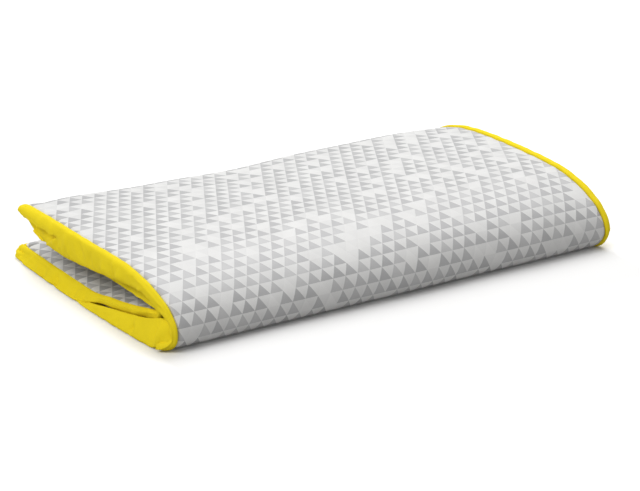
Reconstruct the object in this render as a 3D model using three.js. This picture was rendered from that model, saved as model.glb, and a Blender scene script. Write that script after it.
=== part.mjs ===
// Padded ironing board cover, folded twice crosswise into a pack of four plies.
// One long panel runs from its first free end through the bottom ply, front roll, top ply, back fold,
// under ply, inner crease and inner ply to its second free end.
// +X runs along the roll, +Y from the roll to the back fold, +Z up from the floor.

import * as THREE from 'three';

// Driving dimensions, in millimetres
const PANEL_WIDTH = 467; // printed panel between its side hems, at the front roll
const PANEL_FLARE = 12.5; // how much wider it lies at the back fold, all of it on the left
const COVER_THICKNESS = 1;
const PAD_THICKNESS = 7;
const GAP = 0.3; // between neighbouring pieces

const FOLDED_DEPTH = 260.8; // foremost line of the roll to the back fold
const PACK_HEIGHT = 60.6; // floor to the crown of the top ply
const CROWN_DEPTH = 96; // foremost line to the crown
const BACK_DROP = 6.8; // crown down to the start of the back fold
const BACK_FOLD_RADIUS = 12;
const NOSE_HEIGHT = 16; // foremost line above the floor
const FOOT_DEPTH = 14; // foremost line to where the roll meets the floor
const UPPER_FOLD_DEPTH = 43; // foremost line to the upper fold line
const CREASE_DEPTH = 38; // foremost line to the inner crease
const CREASE_RISE = 8.6; // inner crease above the print of the inner ply
const CREASE_RUN = 75; // length over which the plies beside the crease bend towards it
const CREASE_UNDERCUT = THREE.MathUtils.degToRad(6); // cut faces lean back so that the crease can open flat
const LOWER_DEPTH = 262; // foremost line to the seams of the free ends
const UNDER_INSET = 8; // sides of the under ply, set in from the top ply
const UNDER_RUN = 30; // length over which they draw in from the back fold
const SINK_DEPTH = 98; // foremost line to where the sides of the inner ply begin to sink
const SUNK_DEPTH = 137; // and to where they lie lowest

const EDGE_FALL = 1.5; // padded sides of the top ply drawn down to the hem seam
const INNER_FALL = 5; // and those of the inner ply
const EDGE_RUN = 40; // width of that drawn-down strip
const CORNER_LIFT = 5; // back left corner of the upper leaf stands up
const CORNER_WIDTH = 130; // reach of that lift along X
const CORNER_DEPTH = 140; // and along Y
const CORNER_DRAW = 28; // under ply drawn forward below that corner
const DRAW_WIDTH = 80; // reach of that draw along X
const DRAW_DEPTH = 70; // and along Y

const HEM_WIDTH = 7; // hems of the top and inner plies stand out of the seam
const UNDER_HEM_WIDTH = 6;
const ROLL_HEM_WIDTH = 5; // on the foremost line
const FLOOR_HEM_WIDTH = 15; // bottom hem spread on the floor at the left
const RIGHT_FLOOR_HEM_WIDTH = 8; // and at the right
const FLOOR_HEM_BACK_WIDTH = 10; // at its free end
const END_HEM_WIDTH = 9; // hems of the two free ends
const SKIRT_HEIGHT = 30; // top hem hanging over the edge of the upper leaf
const FOLD_SKIRT_HEIGHT = 13; // at the upper fold line
const BACK_SKIRT_HEIGHT = 14; // at the back fold
const SKIRT_LOSS = 34; // length over which it loses its height, and its distance from the back fold
const ROLL_HEM_HEIGHT = 8; // on the foremost line
const BACK_HEM_HEIGHT = 9; // round the back fold and at the crease
const UNDER_HEM_HEIGHT = 14; // along the under ply
const FLAT_HEM_HEIGHT = 8; // at the free ends and on the inner ply at the crease
const SUNK_HEM_DEPTH = 10.7; // foot of the inner ply's sunk hem, below the print
const FLOOR_HEM_HEIGHT = 5.5; // bottom hem under the sunk hem
const FOOT_HEM_HEIGHT = 15; // bottom hem standing up at the foot of the roll
const FOOT_HEM_RUN = 111; // length over which it stands up
const HEM_SQUARENESS = 0.7; // 1 is an oval hem, towards 0 is a boxy one
const FLOOR_HEM_SQUARENESS = 0.4;
const FLOOR_HEM_TAPER = 0.5; // share of its width that the floor hem loses up to its top
const TUNNEL_RADIUS = 1.6; // hem tunnel that holds the elastic
const TUNNEL_PLACE = 0.48; // share of the hem's width from the seam to the tunnel
const FLOOR_TUNNEL_PLACE = 0.4;
const ELASTIC_RADIUS = 1.2;

// Counts that set how finely the soft forms are cut
const HEM_SIDES = 7;
const CORD_SIDES = 6;
const END_STEPS = 3; // along the hem of a free end
const EDGE_SHARES = [0, 0.25, 0.5, 1]; // cuts across the drawn-down strip

// Heights that follow from the driving dimensions
const PLY = COVER_THICKNESS + GAP + PAD_THICKNESS;
const INNER_PRINT = 2 * PLY + GAP;
const CREASE_HEIGHT = INNER_PRINT + CREASE_RISE;
const BACK_SLOPE = Math.atan2(2 * BACK_DROP, FOLDED_DEPTH - BACK_FOLD_RADIUS - CROWN_DEPTH);
const BACK_START = FOLDED_DEPTH - BACK_FOLD_RADIUS * (1 - Math.sin(BACK_SLOPE));
const BACK_CENTRE = new THREE.Vector2(
  FOLDED_DEPTH - BACK_FOLD_RADIUS,
  PACK_HEIGHT - BACK_DROP - BACK_FOLD_RADIUS * Math.cos(BACK_SLOPE),
);
const UNDER_PRINT = BACK_CENTRE.y - BACK_FOLD_RADIUS;
const UPPER_FOLD_ANGLE = Math.acos(1 - UPPER_FOLD_DEPTH / CROWN_DEPTH);

const COVER_CLOTH = { color: 0xd9dad8, roughness: 0.85, metalness: 0 };
const PADDING = { color: 0xeeebe2, roughness: 0.95, metalness: 0 };
const HEM_CLOTH = { color: 0xe8cf2e, roughness: 0.8, metalness: 0 };
const ELASTIC = { color: 0xf4f2ea, roughness: 0.7, metalness: 0 };

const { clamp, inverseLerp, lerp, smoothstep } = THREE.MathUtils;
const point = (y, z) => new THREE.Vector2(y, z);
const line = (from, to) => new THREE.LineCurve(from, to);
const bend = (from, control, to) => new THREE.QuadraticBezierCurve(from, control, to);

// Arc of an ellipse, run clockwise as seen along +X
function arc(centre, radiusY, radiusZ, fromAngle, toAngle) {
  return new THREE.EllipseCurve(centre.x, centre.y, radiusY, radiusZ, fromAngle, toAngle, true);
}

// Stretches of the panel's printed face in the YZ plane, each with the steps it is cut into

const crown = point(CROWN_DEPTH, PACK_HEIGHT);
const noseCentre = point(CROWN_DEPTH, NOSE_HEIGHT);
const noseRise = PACK_HEIGHT - NOSE_HEIGHT;
const upperFold = Math.PI - UPPER_FOLD_ANGLE;
const backTop = PACK_HEIGHT - BACK_DROP;
const backStart = point(BACK_START, backTop);
const underCrease = point(CREASE_DEPTH, CREASE_HEIGHT + GAP / 2);
const innerCrease = point(CREASE_DEPTH, CREASE_HEIGHT - GAP / 2);
const bendEnd = CREASE_DEPTH + CREASE_RUN;
const bendControl = CREASE_DEPTH + CREASE_RUN / 2;
const underDrawnIn = BACK_CENTRE.x - UNDER_RUN;
const lossEnd = BACK_START - SKIRT_LOSS;

const STRETCHES = {
  bottom: [
    [line(point(LOWER_DEPTH, 0), point(SUNK_DEPTH, 0)), 3],
    [line(point(SUNK_DEPTH, 0), point(FOOT_DEPTH, 0)), 6],
  ],
  roll_lower: [
    [arc(point(FOOT_DEPTH, NOSE_HEIGHT), FOOT_DEPTH, NOSE_HEIGHT, -Math.PI / 2, -Math.PI), 6],
  ],
  roll_upper: [
    [arc(noseCentre, CROWN_DEPTH, noseRise, Math.PI, upperFold), 9],
  ],
  top: [
    [arc(noseCentre, CROWN_DEPTH, noseRise, upperFold, Math.PI / 2), 7],
    [bend(crown, point((CROWN_DEPTH + BACK_START) / 2, PACK_HEIGHT), backStart), 5],
  ],
  back_fold: [
    [arc(BACK_CENTRE, BACK_FOLD_RADIUS, BACK_FOLD_RADIUS, Math.PI / 2 - BACK_SLOPE, -Math.PI / 2), 8],
  ],
  under: [
    [line(point(BACK_CENTRE.x, UNDER_PRINT), point(underDrawnIn, UNDER_PRINT)), 3],
    [line(point(underDrawnIn, UNDER_PRINT), point(bendEnd, UNDER_PRINT)), 4],
    [bend(point(bendEnd, UNDER_PRINT), point(bendControl, UNDER_PRINT), underCrease), 5],
  ],
  inner: [
    [bend(innerCrease, point(bendControl, INNER_PRINT), point(bendEnd, INNER_PRINT)), 7],
    [line(point(bendEnd, INNER_PRINT), point(SUNK_DEPTH, INNER_PRINT)), 1],
    [line(point(SUNK_DEPTH, INNER_PRINT), point(LOWER_DEPTH, INNER_PRINT)), 3],
  ],
};

// The free ends' side hems run past the seam to cover the ends of the end hems
const HEM_OVERRUN = {
  bottom: [
    [line(point(LOWER_DEPTH + GAP + END_HEM_WIDTH, 0), point(LOWER_DEPTH, 0)), 1],
    ...STRETCHES.bottom,
  ],
  inner: [
    ...STRETCHES.inner,
    [line(point(LOWER_DEPTH, INNER_PRINT), point(LOWER_DEPTH + GAP + END_HEM_WIDTH, INNER_PRINT)), 1],
  ],
};

// Sides, drawn-down edge and hem of each stretch, at a depth y and a share t of its run

// Seams of the two side hems, set in by an inset
function seams(y, inset) {
  const share = clamp(y / FOLDED_DEPTH, 0, 1);
  const flare = PANEL_FLARE * share * (2 - share);
  return { left: inset - PANEL_WIDTH / 2 - flare, right: PANEL_WIDTH / 2 - inset };
}

function skirtHeight(y) {
  const gained = smoothstep(y, UPPER_FOLD_DEPTH, lossEnd);
  const lost = smoothstep(y, lossEnd - SKIRT_LOSS, lossEnd);
  return lerp(lerp(FOLD_SKIRT_HEIGHT, SKIRT_HEIGHT, gained), BACK_SKIRT_HEIGHT, lost);
}

const SHAPES = {
  bottom: (y) => ({
    ...seams(y, 0),
    fall: 0,
    hemWidth: lerp(FLOOR_HEM_WIDTH, FLOOR_HEM_BACK_WIDTH, smoothstep(y, SUNK_DEPTH, LOWER_DEPTH)),
    rightHemWidth: RIGHT_FLOOR_HEM_WIDTH,
    hemHeight: lerp(FOOT_HEM_HEIGHT, FLOOR_HEM_HEIGHT, smoothstep(y, FOOT_DEPTH, FOOT_DEPTH + FOOT_HEM_RUN)),
  }),
  roll_lower: (y, t) => ({
    ...seams(y, 0),
    fall: 0,
    hemWidth: lerp(FLOOR_HEM_WIDTH, ROLL_HEM_WIDTH, smoothstep(t, 0, 1)),
    rightHemWidth: lerp(RIGHT_FLOOR_HEM_WIDTH, ROLL_HEM_WIDTH, smoothstep(t, 0, 1)),
    hemHeight: ROLL_HEM_HEIGHT,
  }),
  roll_upper: (y, t) => ({
    ...seams(y, 0),
    fall: EDGE_FALL * smoothstep(t, 0, 1),
    hemWidth: lerp(ROLL_HEM_WIDTH, HEM_WIDTH, t),
    hemHeight: lerp(ROLL_HEM_HEIGHT, FOLD_SKIRT_HEIGHT, t),
  }),
  top: (y) => ({
    ...seams(y, 0),
    fall: EDGE_FALL,
    hemWidth: HEM_WIDTH,
    hemHeight: skirtHeight(y),
  }),
  back_fold: (y, t) => ({
    ...seams(BACK_CENTRE.x, 0),
    fall: EDGE_FALL * (1 - t),
    hemWidth: lerp(HEM_WIDTH, UNDER_HEM_WIDTH, t),
    hemHeight: BACK_HEM_HEIGHT,
  }),
  under: (y) => {
    const drawnIn = 1 - smoothstep(y, underDrawnIn, BACK_CENTRE.x);
    const tall = smoothstep(y, bendEnd, bendEnd + UNDER_RUN)
      - smoothstep(y, underDrawnIn - UNDER_RUN, underDrawnIn);
    return {
      ...seams(y, UNDER_INSET * drawnIn),
      fall: 0,
      hemWidth: UNDER_HEM_WIDTH,
      hemHeight: lerp(BACK_HEM_HEIGHT, UNDER_HEM_HEIGHT, tall),
    };
  },
  inner: (y) => {
    const freed = smoothstep(y, CREASE_DEPTH, bendEnd);
    const sunk = smoothstep(y, SINK_DEPTH, SUNK_DEPTH);
    return {
      ...seams(y, UNDER_INSET * (1 - freed)),
      fall: INNER_FALL * sunk,
      hemWidth: lerp(UNDER_HEM_WIDTH, HEM_WIDTH, freed),
      hemHeight: lerp(FLAT_HEM_HEIGHT, SUNK_HEM_DEPTH, sunk),
    };
  },
};

// The printed face looks to the left of the run; at the crease it is set so that both cut faces lean back
const CREASE_FACE = point(-Math.sin(CREASE_UNDERCUT), Math.cos(CREASE_UNDERCUT));
const END_FACES = {
  under: { last: point(CREASE_FACE.x, -CREASE_FACE.y) },
  inner: { first: CREASE_FACE },
};

// Samples a stretch, leaving half a gap at both ends
function stationsOf(name, pieces) {
  const samples = [];
  pieces.forEach(([curve, steps], which) => {
    for (let k = which === 0 ? 0 : 1; k <= steps; k += 1) {
      const run = curve.getTangent(k / steps);
      samples.push({ at: curve.getPoint(k / steps), run });
    }
  });
  const first = samples[0];
  const last = samples[samples.length - 1];
  first.at.addScaledVector(first.run, GAP / 2);
  last.at.addScaledVector(last.run, -GAP / 2);
  const faces = END_FACES[name] ?? {};
  return samples.map((sample, i) => {
    let face = point(-sample.run.y, sample.run.x);
    if (faces.first && sample === first) {
      face = faces.first;
    }
    if (faces.last && sample === last) {
      face = faces.last;
    }
    const shape = SHAPES[name](sample.at.x, i / (samples.length - 1));
    return { ...sample, ...shape, face };
  });
}

// Joins rings of points into a closed solid: loops give its walls, cap faces close its two ends
function loft(rings, loops, capFaces) {
  const count = rings[0].length;
  const lastRing = (rings.length - 1) * count;
  const index = [];
  for (let s = 0; s < rings.length - 1; s += 1) {
    const here = s * count;
    const next = here + count;
    for (const loop of loops) {
      loop.forEach((a, k) => {
        const b = loop[(k + 1) % loop.length];
        const quad = [here + a, here + b, next + b, next + a];
        const turn = k < loop.length / 2 ? 0 : 1; // both faces of a layer are cut along the same diagonals
        index.push(quad[turn], quad[turn + 1], quad[turn + 2]);
        index.push(quad[turn], quad[turn + 2], quad[(turn + 3) % 4]);
      });
    }
  }
  for (const [a, b, c] of capFaces) {
    index.push(c, b, a);
    index.push(lastRing + a, lastRing + b, lastRing + c);
  }
  const points = rings.flat();
  if (signedVolume(points, index) < 0) {
    index.reverse();
  }
  const geometry = new THREE.BufferGeometry().setFromPoints(points);
  geometry.setIndex(index);
  geometry.computeVertexNormals();
  return geometry;
}

function signedVolume(points, index) {
  let sum = 0;
  for (let i = 0; i < index.length; i += 3) {
    const [a, b, c] = [points[index[i]], points[index[i + 1]], points[index[i + 2]]];
    sum += a.dot(b.clone().cross(c));
  }
  return sum / 6;
}

// The back left corner of the upper leaf stands up, and the under ply below it is drawn forward
function settleCorner(at) {
  const { left } = seams(at.y, 0);
  const lift = smoothstep(at.y, FOLDED_DEPTH - CORNER_DEPTH, FOLDED_DEPTH)
    * (1 - smoothstep(at.x, left, left + CORNER_WIDTH));
  const draw = smoothstep(at.y, FOLDED_DEPTH - DRAW_DEPTH, FOLDED_DEPTH)
    * (1 - smoothstep(at.x, left, left + DRAW_WIDTH))
    * clamp(inverseLerp(backTop, UNDER_PRINT + BACK_HEM_HEIGHT, at.z), 0, 1);
  at.y -= CORNER_DRAW * draw;
  at.z += CORNER_LIFT * lift;
  return at;
}

const asFolded = (at) => at;

// Point of a station at x, a depth below the printed face
function place(station, x, depth, settle) {
  const y = station.at.x - station.face.x * depth;
  const z = station.at.y - station.face.y * depth;
  return settle(new THREE.Vector3(x, y, z));
}

// A layer of the ply between two depths, with its drawn-down sides
function layer(stations, outer, inner, keepsBack, settle) {
  const reach = EDGE_SHARES.map((share) => share * EDGE_RUN);
  const rings = stations.map((station) => {
    const middle = (station.left + station.right) / 2;
    const columns = [
      ...reach.map((d) => station.left + d),
      middle,
      ...reach.map((d) => station.right - d).reverse(),
    ];
    const fall = (x) => {
      const inset = Math.min(x - station.left, station.right - x);
      return station.fall * (1 - smoothstep(inset, 0, EDGE_RUN));
    };
    const printed = columns.map((x) => place(station, x, outer + fall(x), settle));
    const wrong = columns.map((x) => place(station, x, inner + (keepsBack ? 0 : fall(x)), settle));
    return [...printed, ...wrong.reverse()];
  });
  const count = rings[0].length;
  const loop = Array.from({ length: count }, (_, k) => k);
  const capFaces = [];
  for (let k = 0; k < count / 2 - 1; k += 1) {
    const across = count - 1 - k;
    capFaces.push([k, k + 1, across], [k + 1, across - 1, across]);
  }
  return loft(rings, [loop], capFaces);
}

const coverLayer = (stations, settle) => layer(stations, 0, COVER_THICKNESS, false, settle);
const padLayer = (stations, settle) => layer(stations, COVER_THICKNESS + GAP, PLY, true, settle);

// Round-cornered half outline of a hem, with u out from the seam and depth below the printed face
function hemOutline(width, height, fall, onFloor) {
  const squareness = onFloor ? FLOOR_HEM_SQUARENESS : HEM_SQUARENESS;
  const middle = (height + fall) / 2;
  const outline = [];
  for (let k = 0; k <= HEM_SIDES; k += 1) {
    const angle = Math.PI * (0.5 - k / HEM_SIDES);
    const out = Math.abs(Math.cos(angle)) ** squareness;
    const along = Math.sign(Math.sin(angle)) * Math.abs(Math.sin(angle)) ** squareness;
    const depth = middle - ((height - fall) / 2) * along;
    const taper = onFloor ? 1 - FLOOR_HEM_TAPER * (depth / height) : 1;
    outline.push(point(width * out * taper, depth));
  }
  return outline;
}

// Middle of the tunnel in a hem
function tunnelCentre(width, height, fall, onFloor) {
  return point(width * (onFloor ? FLOOR_TUNNEL_PLACE : TUNNEL_PLACE), (height + fall) / 2);
}

function circle(centre, radius, sides) {
  return Array.from({ length: sides }, (_, k) => {
    const angle = (2 * Math.PI * k) / sides;
    return point(centre.x + radius * Math.cos(angle), centre.y + radius * Math.sin(angle));
  });
}

// Loft of an outline with a tunnel; put() turns an outline point of a station into a point in space
function hollowLoft(stations, outlineOf, tunnelOf, put) {
  const sections = stations.map((station) => ({
    station,
    outline: outlineOf(station),
    tunnel: tunnelOf(station),
  }));
  const { outline, tunnel } = sections[0];
  if (!THREE.ShapeUtils.isClockWise(outline)) {
    sections.forEach((section) => section.outline.reverse());
  }
  const capFaces = THREE.ShapeUtils.triangulateShape(outline, [tunnel]);
  const outerLoop = outline.map((_, k) => k);
  const tunnelLoop = tunnel.map((_, k) => outline.length + k);
  const rings = sections.map((section) =>
    [...section.outline, ...section.tunnel].map((spot) => put(section.station, spot)));
  return loft(rings, [outerLoop, tunnelLoop], capFaces.map((face) => [...face].reverse()));
}

const sideSign = { left: -1, right: 1 };

// Puts an outline point beside the left or right seam of a station
function beside(side, settle) {
  return (station, spot) =>
    place(station, station[side] + sideSign[side] * (GAP + spot.x), spot.y, settle);
}

// Middle of the tunnel in a station's left or right hem
function sideTunnel(station, side, onFloor) {
  return tunnelCentre(hemWidthAt(station, side), station.hemHeight, station.fall, onFloor);
}

// Width of a station's left or right hem
function hemWidthAt(station, side) {
  return side === 'right' ? station.rightHemWidth ?? station.hemWidth : station.hemWidth;
}

function sideHem(stations, side, onFloor, settle) {
  return hollowLoft(
    stations,
    (s) => hemOutline(hemWidthAt(s, side), s.hemHeight, s.fall, onFloor),
    (s) => circle(sideTunnel(s, side, onFloor), TUNNEL_RADIUS, CORD_SIDES),
    beside(side, settle),
  );
}

// Solid cord through the tunnel of the hems of one or more stretches
function cord(sections, put) {
  const rings = sections.map(({ station, centre }) =>
    circle(centre, ELASTIC_RADIUS, CORD_SIDES).map((spot) => put(station, spot)));
  const loop = Array.from({ length: CORD_SIDES }, (_, k) => k);
  const capFaces = loop.slice(1, -1).map((k) => [0, k, k + 1]);
  return loft(rings, [loop], capFaces);
}

function sideElastic(stations, side, onFloor, settle) {
  const sections = stations.map((s) => ({
    station: s,
    centre: sideTunnel(s, side, onFloor),
  }));
  return cord(sections, beside(side, settle));
}

// Hem across a free end: its outline runs out along +Y, its length along X
function endStations(name) {
  const { left, right } = SHAPES[name](LOWER_DEPTH);
  return Array.from({ length: END_STEPS + 1 }, (_, k) => ({
    x: lerp(left, right, k / END_STEPS),
    print: name === 'inner' ? INNER_PRINT : 0,
    upwards: name === 'inner' ? -1 : 1,
  }));
}

const pastEnd = (station, spot) =>
  new THREE.Vector3(station.x, LOWER_DEPTH + GAP + spot.x, station.print + station.upwards * spot.y);

function endHem(name) {
  return hollowLoft(
    endStations(name),
    () => hemOutline(END_HEM_WIDTH, FLAT_HEM_HEIGHT, 0, false),
    () => circle(tunnelCentre(END_HEM_WIDTH, FLAT_HEM_HEIGHT, 0, false), TUNNEL_RADIUS, CORD_SIDES),
    pastEnd,
  );
}

function endElastic(name) {
  const centre = tunnelCentre(END_HEM_WIDTH, FLAT_HEM_HEIGHT, 0, false);
  return cord(endStations(name).map((station) => ({ station, centre })), pastEnd);
}

// Assembly

const pack = new THREE.Group();

function add(name, geometry, finish) {
  const mesh = new THREE.Mesh(geometry, new THREE.MeshStandardMaterial(finish));
  mesh.name = name;
  pack.add(mesh);
}

const upperLeaf = ['top', 'back_fold', 'under'];
const onFloor = ['bottom', 'roll_lower'];

for (const name of Object.keys(STRETCHES)) {
  const settle = upperLeaf.includes(name) ? settleCorner : asFolded;
  const stations = stationsOf(name, STRETCHES[name]);
  const hemStations = stationsOf(name, HEM_OVERRUN[name] ?? STRETCHES[name]);
  add(`${name}_cover`, coverLayer(stations, settle), COVER_CLOTH);
  add(`${name}_pad`, padLayer(stations, settle), PADDING);
  for (const side of ['left', 'right']) {
    const flat = onFloor.includes(name);
    add(`${name}_hem_${side}`, sideHem(hemStations, side, flat, settle), HEM_CLOTH);
    add(`${name}_elastic_${side}`, sideElastic(hemStations, side, flat, settle), ELASTIC);
  }
}

for (const name of ['bottom', 'inner']) {
  add(`${name}_hem_end`, endHem(name), HEM_CLOTH);
  add(`${name}_elastic_end`, endElastic(name), ELASTIC);
}

// The origin is the middle of the pack on the floor
const middle = new THREE.Box3().setFromObject(pack).getCenter(new THREE.Vector3());
pack.position.set(-middle.x, -middle.y, 0);

export default pack;
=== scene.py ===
"""Folded, padded ironing board cover: printed cloth, padding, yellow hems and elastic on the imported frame."""

import logging
import math
from dataclasses import dataclass, field, fields
from enum import Enum

import bpy
import numpy as np
from bpy.types import Material, Mesh, Node, NodeOutputs, NodeSocket, NodeTree, Object
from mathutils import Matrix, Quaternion, Vector


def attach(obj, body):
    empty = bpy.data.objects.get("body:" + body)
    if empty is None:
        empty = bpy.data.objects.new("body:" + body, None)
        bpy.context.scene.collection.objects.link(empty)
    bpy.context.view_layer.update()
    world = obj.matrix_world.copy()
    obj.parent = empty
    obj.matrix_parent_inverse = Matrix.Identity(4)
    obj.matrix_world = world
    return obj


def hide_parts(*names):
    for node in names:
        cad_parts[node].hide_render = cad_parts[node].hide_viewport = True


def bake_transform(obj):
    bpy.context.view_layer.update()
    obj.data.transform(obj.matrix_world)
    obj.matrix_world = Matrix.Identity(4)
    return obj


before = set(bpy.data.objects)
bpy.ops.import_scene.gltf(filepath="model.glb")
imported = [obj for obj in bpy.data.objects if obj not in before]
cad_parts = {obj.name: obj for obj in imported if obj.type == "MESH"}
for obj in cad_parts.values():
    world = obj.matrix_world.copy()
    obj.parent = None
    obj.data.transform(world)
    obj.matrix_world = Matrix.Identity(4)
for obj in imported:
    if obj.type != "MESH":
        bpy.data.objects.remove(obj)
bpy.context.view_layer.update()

MM = 0.001
# Points on each finely cut line, gaps in metres at which corners count as one, and degrees of a sharp edge.
LINE_POINTS = 401
SEWN_GAP = 1e-6
RING_GAP = 2e-6
SHARP_PANEL = 50.0
SHARP_HEM = 60.0
log = logging.getLogger("ironing_board_cover")

Array = np.ndarray
Pair = tuple[float, float]
Triple = tuple[float, float, float]
Table = tuple[Pair, ...]
Corners = tuple[tuple[float, float, float, float], ...]


class Side(Enum):
    """The two long sides of the cover, as signs along X."""

    LEFT = -1
    RIGHT = 1

    @property
    def word(self) -> str:
        """The side as it stands in the names of the solids."""
        return self.name.lower()


class Stretch(Enum):
    """Stretches of the folded panel, in the order in which the panel runs."""

    BOTTOM = 0
    ROLL_LOWER = 1
    ROLL_UPPER = 2
    TOP = 3
    BACK_FOLD = 4
    UNDER = 5
    CREASE = 6
    INNER = 7
    END = 8


Plan = list[tuple[Stretch, float, float, int]]


class Length(Enum):
    """Lengths in which the cover is made, each with one fold at most. Hems alone have a bottom one."""

    BOTTOM = "bottom"
    LOWER = "lower"
    UPPER = "upper"
    INNER = "inner"

    @property
    def hem_word(self) -> str:
        """The length as it stands in the names of hems and cords."""
        return "roll" if self is Length.LOWER else self.value

    @property
    def solids(self) -> tuple[str, ...]:
        """First words in the names of the solids along the length.

        Returns:
            The words, in the order of the panel.
        """
        return {
            Length.BOTTOM: ("bottom",),
            Length.LOWER: ("roll_lower",),
            Length.UPPER: ("roll_upper", "top", "back_fold"),
            Length.INNER: ("under", "inner"),
        }[self]


@dataclass(frozen=True)
class PackSizes:
    """Sizes of the folded pack in millimetres, as the solids have them."""

    # The panel, its roll and its back fold.
    panel_width: float = 467.0
    panel_flare: float = 12.5
    folded_depth: float = 260.8
    pack_height: float = 60.6
    crown_depth: float = 96.0
    back_drop: float = 6.8
    back_radius: float = 12.0
    nose_height: float = 16.0
    foot_depth: float = 14.0
    upper_fold_depth: float = 43.0
    # The inner crease and the lower plies.
    crease_depth: float = 38.0
    crease_height: float = 25.5
    crease_run: float = 75.0
    crease_gap: float = 0.3
    inner_print: float = 16.9
    lower_depth: float = 262.0
    under_inset: float = 8.0
    under_run: float = 30.0
    # The free end, with its last angle in degrees.
    end_out: float = 6.0
    end_down: float = 5.0
    end_angle: float = 8.0
    end_reach: float = 11.5
    # How the panel is drawn down at its sides.
    sink_depth: float = 98.0
    sunk_depth: float = 137.0
    edge_fall: float = 1.5
    inner_fall: float = 5.0
    edge_run: float = 40.0
    # The back left corner: how it is lifted, drawn in and pointed, with the reaches across and along.
    corner_lift: float = 5.0
    lift_reach: Pair = (130.0, 140.0)
    corner_draw: float = 14.0
    corner_draw_top: float = 42.5
    draw_reach: Pair = (80.0, 70.0)
    corner_tip: float = 8.0
    tip_across: Pair = (-3.0, 16.0)
    tip_along: Pair = (20.0, 2.0)
    tip_height: float = 48.5
    tip_spread: float = 6.5
    # The rounded back right corner and the drawn-in right end of the roll's foot.
    corner_start: float = 232.0
    corner_round: float = 21.0
    foot_draw: float = 8.0
    foot_end: float = 75.0
    foot_curve: float = 1.5
    hem_height_back: float = 9.0
    # The layers.
    cover_thickness: float = 1.0
    pad_start: float = 1.3
    pad_thickness: float = 7.0
    # The runs over which the folds bend, and the shift into the frame of the solids.
    roll_bend: Pair = (8.5, 23.5)
    top_bend: float = 10.0
    crease_bend: float = 0.75
    to_frame: Triple = (8.1343, -135.575, 0.0)


@dataclass(frozen=True)
class Unevenness:
    """Heights, lengths and reaches of the panel's soft unevenness in millimetres, across and along it."""

    swell: float = 0.55
    swell_lengths: Pair = (61.0, 57.0)
    swell_shifts: Pair = (0.6, 1.1)
    slant: float = 0.4
    slant_lengths: Pair = (34.0, 83.0)
    slant_shift: float = 2.0
    ripple: float = 0.25
    ripple_lengths: Pair = (19.0, 41.0)
    pucker: float = 0.16
    pucker_lengths: Pair = (4.6, 31.0)
    pucker_drift: float = 1.7
    fine_pucker: float = 0.12
    fine_lengths: Pair = (2.7, 30.0)
    fine_drift: float = 2.1
    pucker_reach: float = 15.0
    pressed: float = 0.15
    freed: float = 0.45
    freed_depth: float = 90.0
    end_run: Pair = (235.0, 262.0)
    roll_shares: Pair = (0.1, 1.0)
    back_loss: float = 0.4
    sag: float = 2.0
    sag_middle: float = -45.0
    sag_width: float = 62.0
    sag_run: Pair = (150.0, 255.0)
    corner: float = 1.8
    corner_width: float = 75.0
    corner_run: Pair = (200.0, 262.0)


def eased(value: Array | float, low: float, high: float) -> Array:
    """Smooth step from 0 at low to 1 at high."""
    t = np.clip((np.asarray(value, float) - low) / (high - low), 0.0, 1.0)
    return t * t * (3.0 - 2.0 * t)


def mixed(first: Array | float, second: Array | float, share: Array | float) -> Array:
    """Values between first and second, at a share from 0 to 1."""
    return np.asarray(first + (second - first) * np.asarray(share))


def along(y: Array, points: Table, reach: float = 9.0, samples: int = 13) -> Array:
    """Values that run through the given points, with their corners rounded off.

    Args:
        y: places at which the values are wanted.
        points: pairs of place and value, with rising places.
        reach: distance over which a corner is rounded off.
        samples: values that are averaged over that distance.

    Returns:
        One value for each place.
    """
    places, values = np.array(points).T
    spread = np.linspace(-reach, reach, samples)
    return np.mean([np.interp(y + d, places, values) for d in spread], axis=0)


@dataclass
class Stations:
    """Places along the panel: where its printed face runs, and which way that face looks."""

    y: Array
    z: Array
    face_y: Array
    face_z: Array
    run: Array
    share: Array
    stretch: Array

    def on(self, *stretches: Stretch) -> Array:
        """Mask of the stations on the given stretches."""
        return np.isin(self.stretch, [s.value for s in stretches])

    def chosen(self, choices: dict[Stretch, Array | float], other: float = 0.0) -> Array:
        """One value for each station, by the stretch that it is on.

        Args:
            choices: values on the named stretches.
            other: value on the rest of them.

        Returns:
            The values.
        """
        result = np.full_like(self.y, other)
        for stretch, value in choices.items():
            result = np.where(self.on(stretch), value, result)
        return result

    def only(self, keep: Array) -> "Stations":
        """The stations that a mask keeps."""
        return Stations(*(getattr(self, column.name)[keep] for column in fields(self)))

    def then(self, other: "Stations") -> "Stations":
        """These stations with others after them."""
        pairs = ((getattr(self, column.name), getattr(other, column.name)) for column in fields(self))
        return Stations(*(np.concatenate(pair) for pair in pairs))


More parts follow.
